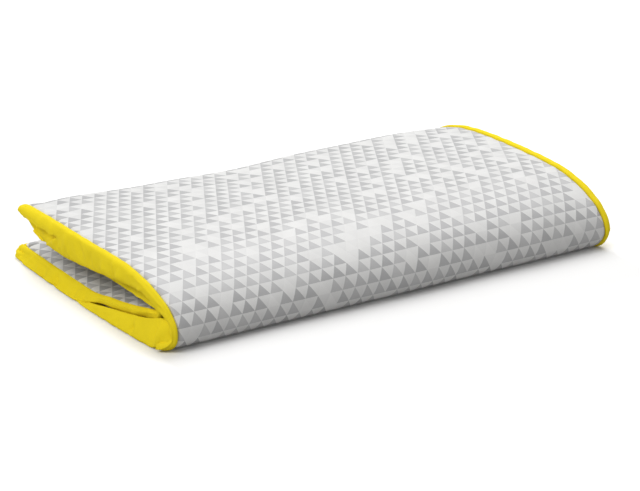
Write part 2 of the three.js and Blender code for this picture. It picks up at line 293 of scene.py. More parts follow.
class FoldPath:
    """The folded panel's printed face seen from its end, measured along it from the roll's foremost line."""

    def __init__(self, sizes: PackSizes, uneven: Unevenness) -> None:
        """Lays out the stretches of the panel.

        Args:
            sizes: sizes of the folded pack.
            uneven: soft unevenness of the panel.
        """
        self.sizes = sizes
        self.uneven = uneven
        s = sizes
        self.back_slope = math.atan2(2 * s.back_drop, s.folded_depth - s.back_radius - s.crown_depth)
        self.back_start = s.folded_depth - s.back_radius * (1 - math.sin(self.back_slope))
        self.back_y = s.folded_depth - s.back_radius
        self.back_z = s.pack_height - s.back_drop - s.back_radius * math.cos(self.back_slope)
        self.back_top = s.pack_height - s.back_drop
        self.under_print = self.back_z - s.back_radius
        self.bend_end = s.crease_depth + s.crease_run
        self._lines = self._lay_out()
        lengths = {k: float(np.linalg.norm(np.diff(v, axis=0), axis=1).sum()) for k, v in self._lines.items()}
        start = -lengths[Stretch.BOTTOM] - lengths[Stretch.ROLL_LOWER]
        self.starts: dict[Stretch, float] = {}
        for stretch in Stretch:
            self.starts[stretch] = start
            start += lengths[stretch]
        self.lengths = lengths

    def _lay_out(self) -> dict[Stretch, Array]:
        """Finely cut line of each stretch.

        Returns:
            For each stretch, an array of points (y, z) in millimetres.
        """
        s = self.sizes
        t = np.linspace(0.0, 1.0, LINE_POINTS)

        def line(y0: float, z0: float, y1: float, z1: float) -> Array:
            """Straight line."""
            return np.stack([mixed(y0, y1, t), mixed(z0, z1, t)], 1)

        def arc(cy: float, cz: float, ry: float, rz: float, a0: float, a1: float) -> Array:
            """Arc of an ellipse between two angles in degrees."""
            a = np.radians(mixed(a0, a1, t))
            return np.stack([cy + ry * np.cos(a), cz + rz * np.sin(a)], 1)

        def bend(p0: Pair, p1: Pair, p2: Pair) -> Array:
            """Quadratic curve with one control point."""
            k = t[:, None]
            return (1 - k) ** 2 * np.array(p0) + 2 * k * (1 - k) * np.array(p1) + k * k * np.array(p2)

        rise = s.pack_height - s.nose_height
        fold = 180.0 - math.degrees(math.acos(1 - s.upper_fold_depth / s.crown_depth))
        slope = math.degrees(self.back_slope)
        control = s.crease_depth + s.crease_run / 2
        half_gap = s.crease_gap / 2
        crease = (s.crease_depth, s.crease_height)
        top_front = arc(s.crown_depth, s.nose_height, s.crown_depth, rise, fold, 90.0)
        top_back = bend(
            (s.crown_depth, s.pack_height),
            ((s.crown_depth + self.back_start) / 2, s.pack_height),
            (self.back_start, self.back_top),
        )
        under_flat = line(self.back_y, self.under_print, self.bend_end, self.under_print)
        under_bend = bend(
            (self.bend_end, self.under_print),
            (control, self.under_print),
            (s.crease_depth, s.crease_height + half_gap),
        )
        inner_bend = bend(
            (s.crease_depth, s.crease_height - half_gap),
            (control, s.inner_print),
            (self.bend_end, s.inner_print),
        )
        inner_flat = line(self.bend_end, s.inner_print, s.lower_depth, s.inner_print)
        end = (s.lower_depth, s.inner_print - s.end_down, s.end_out, s.end_down)
        return {
            Stretch.BOTTOM: line(s.lower_depth, 0.0, s.foot_depth, 0.0),
            Stretch.ROLL_LOWER: arc(s.foot_depth, s.nose_height, s.foot_depth, s.nose_height, 270.0, 180.0),
            Stretch.ROLL_UPPER: arc(s.crown_depth, s.nose_height, s.crown_depth, rise, 180.0, fold),
            Stretch.TOP: np.concatenate([top_front, top_back[1:]]),
            Stretch.BACK_FOLD: arc(self.back_y, self.back_z, s.back_radius, s.back_radius, 90 - slope, -90.0),
            Stretch.UNDER: np.concatenate([under_flat, under_bend[1:]]),
            Stretch.CREASE: arc(*crease, half_gap, half_gap, 90.0, 270.0),
            Stretch.INNER: np.concatenate([inner_bend, inner_flat[1:]]),
            Stretch.END: arc(*end, 90.0, s.end_angle),
        }

    def stations(self, plan: Plan) -> Stations:
        """Cuts part of the panel into stations.

        Args:
            plan: for each stretch, the shares of it where to begin and end, and the steps between them.

        Returns:
            The stations, without doubles where two stretches meet.
        """
        parts: list[Array] = []
        for which, (stretch, begin, end, steps) in enumerate(plan):
            line = self._lines[stretch]
            step = np.linalg.norm(np.diff(line, axis=0), axis=1)
            length = np.concatenate([[0.0], np.cumsum(step)])
            tangent = np.gradient(line, length, axis=0)
            share = np.linspace(begin, end, steps + 1)[0 if which == 0 else 1 :]
            at = share * length[-1]
            columns = [np.interp(at, length, line[:, 0]), np.interp(at, length, line[:, 1])]
            columns += [np.interp(at, length, tangent[:, 0]), np.interp(at, length, tangent[:, 1])]
            columns += [at + self.starts[stretch], share, np.full(len(share), float(stretch.value))]
            parts.append(np.stack(columns, 1))
        cut = np.concatenate(parts)
        norm = np.hypot(cut[:, 2], cut[:, 3])
        return Stations(
            y=cut[:, 0],
            z=cut[:, 1],
            face_y=-cut[:, 3] / norm,
            face_z=cut[:, 2] / norm,
            run=cut[:, 4],
            share=cut[:, 5],
            stretch=cut[:, 6].astype(int),
        )

    def left_edge(self, y: Array, inset: Array | float = 0.0) -> Array:
        """X of the left side, where the cover widens towards the back.

        Args:
            y: places from the front to the back.
            inset: how far the seam is set in there.

        Returns:
            One place across for each place along.
        """
        s = self.sizes
        share = np.clip(y / s.folded_depth, 0.0, 1.0)
        return inset - s.panel_width / 2 - s.panel_flare * share * (2 - share)

    def seam(self, at: Stations, side: Side) -> Array:
        """X of the seam between the panel and the hem of one side.

        Args:
            at: the stations.
            side: the side.

        Returns:
            One place across for each station.
        """
        s = self.sizes
        inner = s.under_inset * (1 - eased(at.y, s.crease_depth, self.bend_end))
        inset = at.chosen({
            Stretch.UNDER: s.under_inset * (1 - eased(at.y, self.back_y - s.under_run, self.back_y)),
            Stretch.CREASE: s.under_inset,
            Stretch.INNER: inner,
            Stretch.END: inner,
        })
        if side is Side.LEFT:
            return self.left_edge(np.where(at.on(Stretch.BACK_FOLD), self.back_y, at.y), inset)
        past = np.clip((at.y - s.corner_start) / (s.folded_depth - s.corner_start), 0.0, 1.0)
        rounded = s.corner_round * past**2
        drawn = at.chosen({
            Stretch.BOTTOM: s.foot_draw * (1 - eased(at.y, s.foot_depth, s.foot_end)),
            Stretch.ROLL_LOWER: s.foot_draw * (1 - at.share) ** s.foot_curve,
            Stretch.TOP: rounded,
            Stretch.BACK_FOLD: rounded,
            Stretch.UNDER: rounded,
        })
        return s.panel_width / 2 - inset - drawn

    def fall(self, at: Stations) -> Array:
        """How far the panel is drawn down at its side seams.

        Args:
            at: the stations.

        Returns:
            One depth for each station.
        """
        s = self.sizes
        return at.chosen({
            Stretch.ROLL_UPPER: s.edge_fall * eased(at.share, 0.0, 1.0),
            Stretch.TOP: s.edge_fall,
            Stretch.BACK_FOLD: s.edge_fall * (1 - at.share),
            Stretch.INNER: s.inner_fall * eased(at.y, s.sink_depth, s.sunk_depth),
            Stretch.END: s.inner_fall * (1 - at.share),
        })

    def near_seam(self, at: Stations, x: Array) -> Array:
        """Distance from the nearer side seam."""
        return np.minimum(x - self.seam(at, Side.LEFT)[:, None], self.seam(at, Side.RIGHT)[:, None] - x)

    def waves(self, at: Stations, x: Array) -> Array:
        """Broad swells of the padding and fine puckers along the side seams.

        Args:
            at: the stations.
            x: places across the panel, one row for each station.

        Returns:
            Heights in millimetres, of the shape of x.
        """
        u = self.uneven
        run = at.run[:, None]
        swell = u.swell * np.sin(x / u.swell_lengths[0] + u.swell_shifts[0])
        swell = swell * np.sin(run / u.swell_lengths[1] + u.swell_shifts[1])
        slant = u.slant * np.sin(x / u.slant_lengths[0] + run / u.slant_lengths[1] + u.slant_shift)
        ripple = u.ripple * np.sin(x / u.ripple_lengths[0] - run / u.ripple_lengths[1])
        drift = u.pucker_drift * np.sin(run / u.pucker_lengths[1])
        pucker = u.pucker * np.sin(run / u.pucker_lengths[0] + drift)
        drift = u.fine_drift * np.sin(x / u.fine_lengths[1])
        fine = u.fine_pucker * np.sin(run / u.fine_lengths[0] + drift)
        near = np.exp(-np.maximum(self.near_seam(at, x), 0.0) / u.pucker_reach)
        return swell + slant + ripple + (pucker + fine) * near

    def relief(self, at: Stations, x: Array) -> Array:
        """Soft unevenness of the padded panel, outwards from its printed face.

        Args:
            at: the stations.
            x: places across the panel, one row for each station.

        Returns:
            Heights in millimetres, of the shape of x.
        """
        u = self.uneven
        y = at.y[:, None]
        right = self.seam(at, Side.RIGHT)[:, None]
        calm = u.pressed + u.freed * eased(at.y, self.sizes.crease_depth, u.freed_depth)
        lying = at.chosen({
            Stretch.BOTTOM: 0.0,
            Stretch.ROLL_LOWER: eased(at.share, *u.roll_shares),
            Stretch.BACK_FOLD: 1 - u.back_loss * at.share,
            Stretch.UNDER: calm,
            Stretch.CREASE: u.pressed,
            Stretch.INNER: calm * (1 - eased(at.y, *u.end_run)),
            Stretch.END: 0.0,
        }, 1.0)
        upper = at.chosen({Stretch.TOP: 1.0, Stretch.BACK_FOLD: 1 - at.share})
        sag = u.sag * np.exp(-(((x - u.sag_middle) / u.sag_width) ** 2)) * eased(y, *u.sag_run)
        corner = u.corner * eased(x, right - u.corner_width, right) * eased(y, *u.corner_run)
        return self.waves(at, x) * lying[:, None] - upper[:, None] * (sag + corner)

    def settle(self, points: Array, at: Stations) -> Array:
        """Lifts the back left corner of the upper leaf and draws the under ply below it forwards.

        Args:
            points: points in millimetres, one row for each station.
            at: the stations.

        Returns:
            The moved points.
        """
        s = self.sizes
        x, y, z = points[..., 0], points[..., 1], points[..., 2]
        back = s.folded_depth
        within = x - self.left_edge(y)
        leaf = at.on(Stretch.TOP, Stretch.BACK_FOLD, Stretch.UNDER)[:, None]
        lift = eased(y, back - s.lift_reach[1], back) * (1 - eased(within, 0.0, s.lift_reach[0])) * leaf
        depth = np.clip((s.corner_draw_top - z) / (s.corner_draw_top - self.under_print), 0.0, 1.0)
        near = (1 - eased(within, 0.0, s.draw_reach[0])) * leaf
        draw = eased(y, back - s.draw_reach[1], back) * near * depth
        edge = (1 - eased(within, *s.tip_across)) * leaf
        level = np.exp(-(((z - s.tip_height) / s.tip_spread) ** 2))
        tip = eased(y, back - s.tip_along[0], back - s.tip_along[1]) * level * edge
        moved = y - s.corner_draw * draw + s.corner_tip * tip
        return np.stack([x, moved, z + s.corner_lift * lift], -1)

    def place(self, at: Stations, x: Array, depth: Array) -> Array:
        """Points at x across and a depth below the printed face.

        Args:
            at: the stations.
            x: places across, one row for each station.
            depth: depths below the printed face, of the shape of x.

        Returns:
            Points in millimetres, one row for each station.
        """
        y = at.y[:, None] - at.face_y[:, None] * depth
        z = at.z[:, None] - at.face_z[:, None] * depth
        points = self.settle(np.stack([x, y, z], -1), at)
        points[..., 2] = np.maximum(points[..., 2], 0.0)
        return points

    def in_frame(self, points: Array) -> Array:
        """Points in millimetres turned into metres in the frame of the solids."""
        return (points + np.array(self.sizes.to_frame)) * MM


class Bench:
    """Modelling steps that all pieces share."""

    @staticmethod
    def only(piece: Object) -> None:
        """Leaves one piece selected and active.

        Args:
            piece: the piece.
        """
        bpy.ops.object.select_all(action="DESELECT")
        piece.select_set(True)
        bpy.context.view_layer.objects.active = piece

    @staticmethod
    def corners(mesh: Mesh) -> Array:
        """Places of a mesh's corners.

        Args:
            mesh: the mesh.

        Returns:
            One row for each corner.
        """
        flat = np.zeros(len(mesh.vertices) * 3, np.float32)
        mesh.vertices.foreach_get("co", flat)
        return flat.reshape(-1, 3)

    @staticmethod
    def flat_places(across: Array, run: Array) -> Array:
        """Flat places in metres, from places across and along the cloth in millimetres."""
        return np.stack(np.broadcast_arrays(across, run[:, None]), -1) * MM

    @staticmethod
    def cloth(name: str, points: Array, uv: Array) -> Object:
        """Adds a grid and lays its corners on the given points.

        Args:
            name: name of the piece.
            points: rows and columns of points in metres.
            uv: flat place of each point in metres, for the weave and the print.

        Returns:
            The new piece.
        """
        rows, columns = points.shape[:2]
        bpy.ops.object.select_all(action="DESELECT")
        bpy.ops.mesh.primitive_grid_add(x_subdivisions=columns - 1, y_subdivisions=rows - 1, size=1.0)
        piece = bpy.context.active_object
        piece.name = name
        piece.data.name = name
        mesh = piece.data
        flat = Bench.corners(mesh)
        column = np.rint((flat[:, 0] + 0.5) * (columns - 1)).astype(int)
        row = np.rint((flat[:, 1] + 0.5) * (rows - 1)).astype(int)
        mesh.vertices.foreach_set("co", points[row, column].astype(np.float32).ravel())
        corner = np.zeros(len(mesh.loops), np.int32)
        mesh.loops.foreach_get("vertex_index", corner)
        layer = mesh.uv_layers.active
        layer.name = "cloth"
        layer.data.foreach_set("uv", uv[row[corner], column[corner]].astype(np.float32).ravel())
        mesh.update()
        return piece

    @staticmethod
    def tube(name: str, rings: Array, uv: Array, closed: tuple[bool, bool]) -> Object:
        """Lays a grid round closed rings, sews its long edges together and closes the ends asked for.

        Args:
            name: name of the piece.
            rings: rows of points, each row once round the tube, in metres.
            uv: flat place of each point, with one column more for the sewn edge.
            closed: whether the first and the last ring are closed.

        Returns:
            The new piece.
        """
        wrapped = np.concatenate([rings, rings[:, :1]], axis=1)
        piece = Bench.cloth(name, wrapped, uv)
        Bench.only(piece)
        bpy.ops.object.mode_set(mode="EDIT")
        bpy.ops.mesh.select_all(action="SELECT")
        bpy.ops.mesh.remove_doubles(threshold=SEWN_GAP)
        bpy.ops.object.mode_set(mode="OBJECT")
        for wanted, ring in zip(closed, (rings[0], rings[-1])):
            if wanted:
                Bench.close_ring(piece, ring)
        Bench.face_outwards(piece)
        return piece

    @staticmethod
    def face_outwards(piece: Object) -> None:
        """Turns the faces of a tube outwards, by the sign of the room that they hold.

        Args:
            piece: the tube.
        """
        mesh = piece.data
        mesh.calc_loop_triangles()
        corner = Bench.corners(mesh).astype(float)
        corner -= corner.mean(axis=0)
        index = np.zeros(len(mesh.loop_triangles) * 3, np.int32)
        mesh.loop_triangles.foreach_get("vertices", index)
        first, second, third = (corner[index[k::3]] for k in range(3))
        room = float((first * np.cross(second, third)).sum())
        if room < 0:
            mesh.flip_normals()

    @staticmethod
    def close_ring(piece: Object, ring: Array) -> None:
        """Closes the end of a tube with one face.

        Args:
            piece: the tube.
            ring: points of its end ring.
        """
        mesh = piece.data
        places = Bench.corners(mesh)
        gap = np.linalg.norm(places[:, None, :] - ring[None, :, :], axis=2).min(axis=1)
        chosen = gap < RING_GAP
        mesh.polygons.foreach_set("select", np.zeros(len(mesh.polygons), bool))
        ends = np.zeros(len(mesh.edges) * 2, np.int32)
        mesh.edges.foreach_get("vertices", ends)
        ends = ends.reshape(-1, 2)
        mesh.edges.foreach_set("select", chosen[ends].all(axis=1))
        mesh.vertices.foreach_set("select", chosen)
        Bench.only(piece)
        bpy.ops.object.mode_set(mode="EDIT")
        bpy.ops.mesh.select_mode(type="EDGE")
        bpy.ops.mesh.edge_face_add()
        bpy.ops.mesh.select_mode(type="VERT")
        bpy.ops.object.mode_set(mode="OBJECT")

    @staticmethod
    def thicken(piece: Object, thickness: float) -> None:
        """Gives a sheet its thickness, away from its outer face.

        Args:
            piece: the sheet.
            thickness: thickness in millimetres.
        """
        Bench.only(piece)
        wall = piece.modifiers.new("thickness", "SOLIDIFY")
        wall.thickness = thickness * MM
        wall.offset = -1.0
        wall.use_even_offset = False
        bpy.ops.object.modifier_apply(modifier=wall.name)

    @staticmethod
    def smooth(piece: Object, angle: float = SHARP_PANEL) -> None:
        """Shades a piece smooth, apart from its sharp edges.

        Args:
            piece: the piece.
            angle: angle in degrees from which an edge is sharp.
        """
        Bench.only(piece)
        bpy.ops.object.shade_smooth_by_angle(angle=math.radians(angle))

    @staticmethod
    def dress(piece: Object, finish: Material, slot: str, solids: list[str]) -> None:
        """Gives a piece its finish, hides the solids that it stands for, and logs it.

        Args:
            piece: the piece.
            finish: its material.
            slot: not used.
            solids: names of the solids.
        """
        piece.data.materials.append(finish)
        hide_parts(*solids)
        log.info("%s: %d faces", piece.name, len(piece.data.polygons))


def round_outline(corners: Array, cuts: int) -> Array:
    """Runs a smooth closed line through corner points.

    Args:
        corners: rows of corner points (u, depth).
        cuts: points on each stretch between two corners.

    Returns:
        Rows of points on the line.
    """
    before = np.roll(corners, 1, axis=1)
    after = np.roll(corners, -1, axis=1)
    beyond = np.roll(corners, -2, axis=1)
    pieces = []
    for k in range(cuts):
        t = k / cuts
        pieces.append(
            0.5
            * (
                2 * corners
                + (after - before) * t
                + (2 * before - 5 * corners + 4 * after - beyond) * t**2
                + (3 * corners - before - 3 * after + beyond) * t**3
            )
        )
    rows, count = corners.shape[:2]
    return np.stack(pieces, axis=2).reshape(rows, count * cuts, 2)


def girth(outlines: Array) -> Array:
    """Length of the way round closed outlines.

    Args:
        outlines: rows of points (u, depth).

    Returns:
        Rows of lengths from the first point on, with one more for the way back to it.
    """
    closed = np.concatenate([outlines, outlines[:, :1]], axis=1)
    step = np.linalg.norm(np.diff(closed, axis=1), axis=2)
    return np.concatenate([np.zeros((len(step), 1)), np.cumsum(step, axis=1)], axis=1)


@dataclass(frozen=True)
class Layer:
    """One layer of the panel, with its place and thickness in millimetres."""

    name: str
    solid: str
    slot: str
    thickness: float
    margin: float = 0.0
    depth: float = 0.0
    past_end: bool = False


@dataclass
class Panel:
    """The padded panel: printed cloth on the outside and padding behind it."""

    path: FoldPath
    edge_cuts: tuple[float, ...] = (0.0, 0.6, 1.4, 2.6, 4.2, 6.5, 10.0, 15.0, 21.0, 29.0, 40.0)
    middle_cuts: int = 62
    roll_over: float = 2.3
    roll_reach: float = 5.0
    pad_margin: float = 0.9
    pieces: dict[str, Object] = field(default_factory=dict)

    def layers(self) -> tuple[Layer, Layer]:
        """The two layers of the panel.

        Returns:
            The padding and the printed cloth.
        """
        s = self.path.sizes
        felt = s.pad_thickness - self.roll_over
        return (
            Layer("padding", "pad", "padding", margin=self.pad_margin, depth=s.pad_start, thickness=felt),
            Layer("cover", "cover", "cover_cloth", thickness=s.cover_thickness, past_end=True),
        )

    def plans(self) -> dict[Length, Plan]:
        """Stretches of the three lengths in which the panel is made.

        Returns:
            For each length, its stretches, the shares of them where it begins and ends, and the steps there.
        """
        return {
            Length.LOWER: [
                (Stretch.BOTTOM, 0.0, 1.0, 70),
                (Stretch.ROLL_LOWER, 0.0, 1.0, 22),
                (Stretch.ROLL_UPPER, 0.0, 0.5, 20),
            ],
            Length.UPPER: [
                (Stretch.ROLL_UPPER, 0.5, 1.0, 14),
                (Stretch.TOP, 0.0, 1.0, 84),
                (Stretch.BACK_FOLD, 0.0, 1.0, 26),
            ],
            Length.INNER: [
                (Stretch.UNDER, 0.0, 1.0, 70),
                (Stretch.CREASE, 0.0, 1.0, 8),
                (Stretch.INNER, 0.0, 1.0, 76),
                (Stretch.END, 0.0, 1.0, 7),
            ],
        }

    def columns(self, at: Stations, margin: float) -> Array:
        """Places across the panel, closer together near its seams.

        Args:
            at: the stations.
            margin: distance that the layer keeps from the seams.

        Returns:
            One row of places for each station.
        """
        left = self.path.seam(at, Side.LEFT)[:, None] + margin
        right = self.path.seam(at, Side.RIGHT)[:, None] - margin
        reach = np.array(self.edge_cuts)[None, :]
        share = np.linspace(0.0, 1.0, self.middle_cuts + 1)[None, 1:-1]
        inner_left, inner_right = left + reach[:, -1:], right - reach[:, -1:]
        middle = mixed(inner_left, inner_right, share)
        return np.concatenate([left + reach, middle, (right - reach)[:, ::-1]], axis=1)

    def depth(self, at: Stations, x: Array) -> Array:
        """Depth of the printed face below the fold path, with its drawn-down and rolled-over sides.

        Args:
            at: the stations.
            x: places across the panel, one row for each station.

        Returns:
            Depths in millimetres, of the shape of x.
        """
        near = self.path.near_seam(at, x)
        fall = self.path.fall(at)[:, None] * (1 - eased(near, 0.0, self.path.sizes.edge_run))
        turn = np.clip(1 - near / self.roll_reach, 0.0, 1.0)
        return fall + self.roll_over * (1 - np.sqrt(1 - turn**2)) - self.path.relief(at, x)

    def make(self, layer: Layer, length: Length) -> Object:
        """Makes one layer of one length of the panel.

        Args:
            layer: the layer.
            length: the length.

        Returns:
            The piece.
        """
        plan = [row for row in self.plans()[length] if layer.past_end or row[0] is not Stretch.END]
        at = self.path.stations(plan)
        x = self.columns(at, layer.margin)
        points = self.path.in_frame(self.path.place(at, x, self.depth(at, x) + layer.depth))
        piece = Bench.cloth(f"{layer.name}_{length.value}", points, Bench.flat_places(x, at.run))
        Bench.thicken(piece, layer.thickness)
        Bench.smooth(piece)
        return piece

    def build(self, cloth: Material, padding: Material) -> None:
        """Makes and dresses all the lengths, and bakes their transforms into their meshes.

        Args:
            cloth: finish of the printed cloth.
            padding: finish of the padding.
        """
        for length in self.plans():
            words = length.solids
            if length is Length.LOWER:
                words = Length.BOTTOM.solids + words
            for layer, finish in zip(self.layers(), (padding, cloth)):
                piece = self.make(layer, length)
                Bench.dress(piece, finish, layer.slot, [f"{word}_{layer.solid}" for word in words])
                bend_with(self.path, piece, length)
                self.pieces[piece.name] = piece


def bend_with(path: FoldPath, piece: Object, length: Length) -> None:
    """Hangs a bottom length on the lower ply's body and bakes the transform of any other length into its mesh.

    Args:
        path: the folded panel.
        piece: the finished piece.
        length: which of the lengths it belongs to.
    """
    if length is Length.BOTTOM:
        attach(piece, "lower_ply")
    elif length is Length.LOWER:
        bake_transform(piece)
    elif length is Length.UPPER:
        at = path.stations([(Stretch.ROLL_UPPER, 0.5, 1.0, 40)])
        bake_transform(piece)
    else:
        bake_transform(piece)


@dataclass(frozen=True)
class HemSizes:
    """Sizes of the side hems in millimetres, on the left side unless they say otherwise.

    The tables are pairs of the place from front to back and the size there.
    """

    # Widths out of the seam and heights below the print.
    cloth: float = 0.8
    gap: float = 0.3
    width: float = 7.0
    right_extra: float = 1.0
    under_width: float = 6.0
    under_height: float = 14.0
    under_rise: Pair = (22.0, 2.0)
    inner_height: float = 8.0
    roll_width: float = 5.0
    roll_share: float = 0.9
    roll_height: float = 8.0
    floor_width: float = 13.5
    right_floor_width: float = 7.5
    fold_height: float = 11.6
    fold_shares: Pair = (0.0, 0.3)
    tucked_width: float = 3.0
    tuck_shares: Pair = (0.34, 0.5)
    tuck_run: Pair = (95.0, 60.0)
    # Free ends and the rings there.
    front_end: float = 5.0
    front_round: float = 5.0
    end_start: float = 0.6
    end_round: float = 4.5
    least_end: float = 0.12
    bottom_rings: int = 118
    end_rings: int = 10
    # The hem that hangs over the edge: its slack, and where it is taut and boxed at the back left corner.
    hanging_wave: float = 1.7
    slack_height: float = 14.0
    least_slack: float = 0.2
    taut_run: Pair = (215.0, 240.0)
    taut_loss: float = 0.85
    boxed_shares: Pair = (0.3, 0.5)
    # The hem that slants down to the floor, and its lifted end.
    slant_run: Pair = (104.0, 156.0)
    slant_wave: float = 3.2
    slant_sideways: float = 0.6
    slant_pivot: Pair = (0.5, 0.3)
    slant_gap: float = 1.6
    lower_gap: float = 0.15
    end_lift: float = 0.4
    end_lift_run: Pair = (248.0, 266.0)
    # The hem that stands up from the floor.
    wall_wave: float = 4.2
    wall_full: float = 16.0
    wall_calm: float = 0.1
    wall_back: float = 1.9
    wall_least: float = 0.6
    wall_bead: float = 1.4
    stuffed_gap: float = 0.8
    skirt: Table = (
        (43.0, 12.5), (79.0, 20.8), (112.0, 24.2), (147.0, 27.3), (184.0, 30.2), (205.0, 29.4), (222.0, 28.6),
        (232.0, 28.6), (242.0, 27.2), (250.0, 22.5),
    )
    right_skirt: Table = (
        (43.0, 12.5), (79.0, 17.0), (112.0, 20.0), (150.0, 22.0), (190.0, 20.0), (225.0, 14.0), (250.0, 11.6),
        (262.0, 11.6),
    )
    slant_edge: Table = (
        (100.0, 13.4), (135.0, 13.6), (173.0, 13.2), (214.0, 12.0), (256.0, 11.4), (274.0, 10.4),
    )
    wall_height: Table = (
        (5.0, 26.0), (14.0, 27.4), (27.0, 24.8), (39.0, 19.7), (67.0, 14.9), (96.0, 11.1), (122.0, 6.1),
        (131.0, 4.9), (142.0, 4.4), (152.0, 4.2), (246.0, 4.2), (264.0, 5.4), (274.0, 5.2),
    )
    wall_lean: Table = (
        (5.0, 1.4), (14.0, 1.6), (27.0, 2.2), (39.0, 3.4), (67.0, 5.4), (96.0, 8.2), (122.0, 9.4),
        (131.0, 9.3), (142.0, 7.3), (152.0, 5.6), (246.0, 5.0), (264.0, 7.6), (274.0, 6.6),
    )
    wall_foot: Table = (
        (5.0, 4.0), (10.0, 8.0), (16.0, 12.2), (38.0, 13.4), (69.0, 13.7), (122.0, 14.4), (131.0, 14.3),
        (142.0, 13.2), (150.0, 11.6), (160.0, 9.2), (214.0, 8.6), (246.0, 8.4), (262.0, 11.0), (274.0, 9.0),
    )
    right_wall_height: Table = (
        (5.0, 20.0), (14.0, 18.0), (39.0, 14.0), (67.0, 10.0), (131.0, 4.9), (271.0, 4.6),
    )
    stuffed_height: Table = (
        (5.0, 15.0), (14.0, 11.5), (60.0, 9.5), (80.0, 7.2), (110.0, 5.2), (137.0, 3.8), (271.0, 3.8),
    )
    lifted: Table = ((5.0, 12.0), (15.0, 0.0), (271.0, 0.0))


@dataclass(frozen=True)
class HemOutlines:
    """Corner points of the hems' sections, in order round them from the seam.

    A row holds the share of the width, a depth in millimetres, the share of the height that is added to it,
    and the looseness of the cloth. Boxed and right rows take the place of the first two values of
    corners 1 to 4.
    """

    hanging: Corners = (
        (0.03, 2.5, 0.0, 0.0), (0.06, 0.7, 0.0, 0.0), (0.24, -0.35, 0.0, 0.1), (0.56, 0.1, 0.0, 0.2),
        (0.87, 1.7, 0.0, 0.5), (1.0, 0.0, 0.24, 0.8), (1.0, 0.0, 0.46, 1.0), (0.97, 0.0, 0.68, 1.1),
        (0.88, 0.0, 0.87, 1.0), (0.66, 0.0, 1.0, 0.5), (0.38, -0.2, 1.0, 0.2), (0.16, 0.0, 0.86, 0.0),
        (0.10, 0.0, 0.6, 0.0), (0.07, 0.0, 0.4, 0.0),
    )
    boxed: Table = ((0.24, 0.3), (0.66, -0.3), (0.94, 0.2), (1.0, 1.2))
    right: Table = ((0.05, 0.5), (0.22, -0.6), (0.56, -0.8), (0.88, 0.5))
    slanted: Corners = (
        (0.02, 2.3, 0.0, 0.0), (0.04, 0.6, 0.0, 0.0), (0.12, -0.3, 0.0, 0.0), (0.34, 0.9, 0.0, 0.1),
        (0.58, 0.0, 0.36, 0.6), (0.78, 0.0, 0.6, 1.0), (0.94, 0.0, 0.83, 0.8), (1.0, 0.0, 0.93, 0.6),
        (0.95, 0.0, 0.96, 0.6), (0.76, 0.0, 0.78, 0.8), (0.54, 0.0, 0.6, 0.2), (0.32, 0.0, 0.54, 0.0),
        (0.1, 0.0, 0.48, 0.0), (0.03, 0.0, 0.33, 0.0),
    )
    slanted_lower: int = 8


@dataclass(frozen=True)
class GatherChances:
    """Ranges from which the gathers of a side hem are drawn, in millimetres and shares of its outer wall."""

    left_seed: int = 11
    right_seed: int = 23
    past_ends: float = 20.0
    spacing: float = 7.0
    shift: Pair = (-7.0, 7.0)
    slant: Pair = (-16.0, 16.0)
    width: Pair = (1.9, 4.6)
    height: Pair = (0.25, 1.0)
    middle: Pair = (0.2, 1.0)
    span: Pair = (0.25, 0.6)


@dataclass(frozen=True)
class Pocket:
    """The pressed-in slack below the back left corner and the long creases beside it, in millimetres."""

    corners: Table = ((257.0, 46.5), (188.0, 47.5), (219.0, 28.0))
    softness: Triple = (1.1, 2.5, 1.0)
    rim: float = 2.3
    rim_height: float = 46.5
    rim_soft: float = 0.6
    rim_along: Pair = (175.0, 215.0)
    rim_fade: Pair = (52.0, 58.0)
    outer_run: Pair = (1.5, 4.5)
    least_width: float = 2.5
    inner_press: float = 2.0
    outer_press: Pair = (2.4, 4.5)
    press_heights: Pair = (33.0, 44.0)
    creases: tuple[tuple[Pair, Pair, float, float], ...] = (
        ((274.0, 6.4), (246.0, 8.4), 1.1, 1.0),
        ((262.0, 4.2), (232.0, 6.6), 1.0, 1.3),
        ((257.0, 13.0), (210.0, 10.6), -0.9, 1.9),
        ((238.0, 9.0), (205.0, 7.4), 0.9, 1.5),
        ((206.0, 5.0), (160.0, 6.4), 0.8, 1.8),
        ((190.0, 12.4), (140.0, 10.4), 0.7, 1.6),
    )
    crease_rise: float = 1.3
    crease_push: Triple = (0.75, 0.0, -0.6)
    crease_corners: tuple[int, int] = (2, 7)


@dataclass(frozen=True)
class CordSizes:
    """Sizes of the elastic cord and its place in the hems, in millimetres."""

    radius: float = 1.1
    least_radius: float = 0.4
    wall: float = 0.95
    sides: int = 10
    girth: float = 6.9
    end_gap: float = 1.0
    floor_share: float = 0.42
    floor_room: float = 9.0
    floor_gap: float = 0.2
    edge_gap: float = 2.2
    deepest: float = 6.5
    slanted_out: float = 3.0
    slanted_depth: float = 3.7

    def ring(self) -> Array:
        """Points round a circle of radius 1."""
        angle = np.linspace(0.0, 2 * np.pi, self.sides, endpoint=False)
        return np.stack([np.cos(angle), np.sin(angle)], -1)


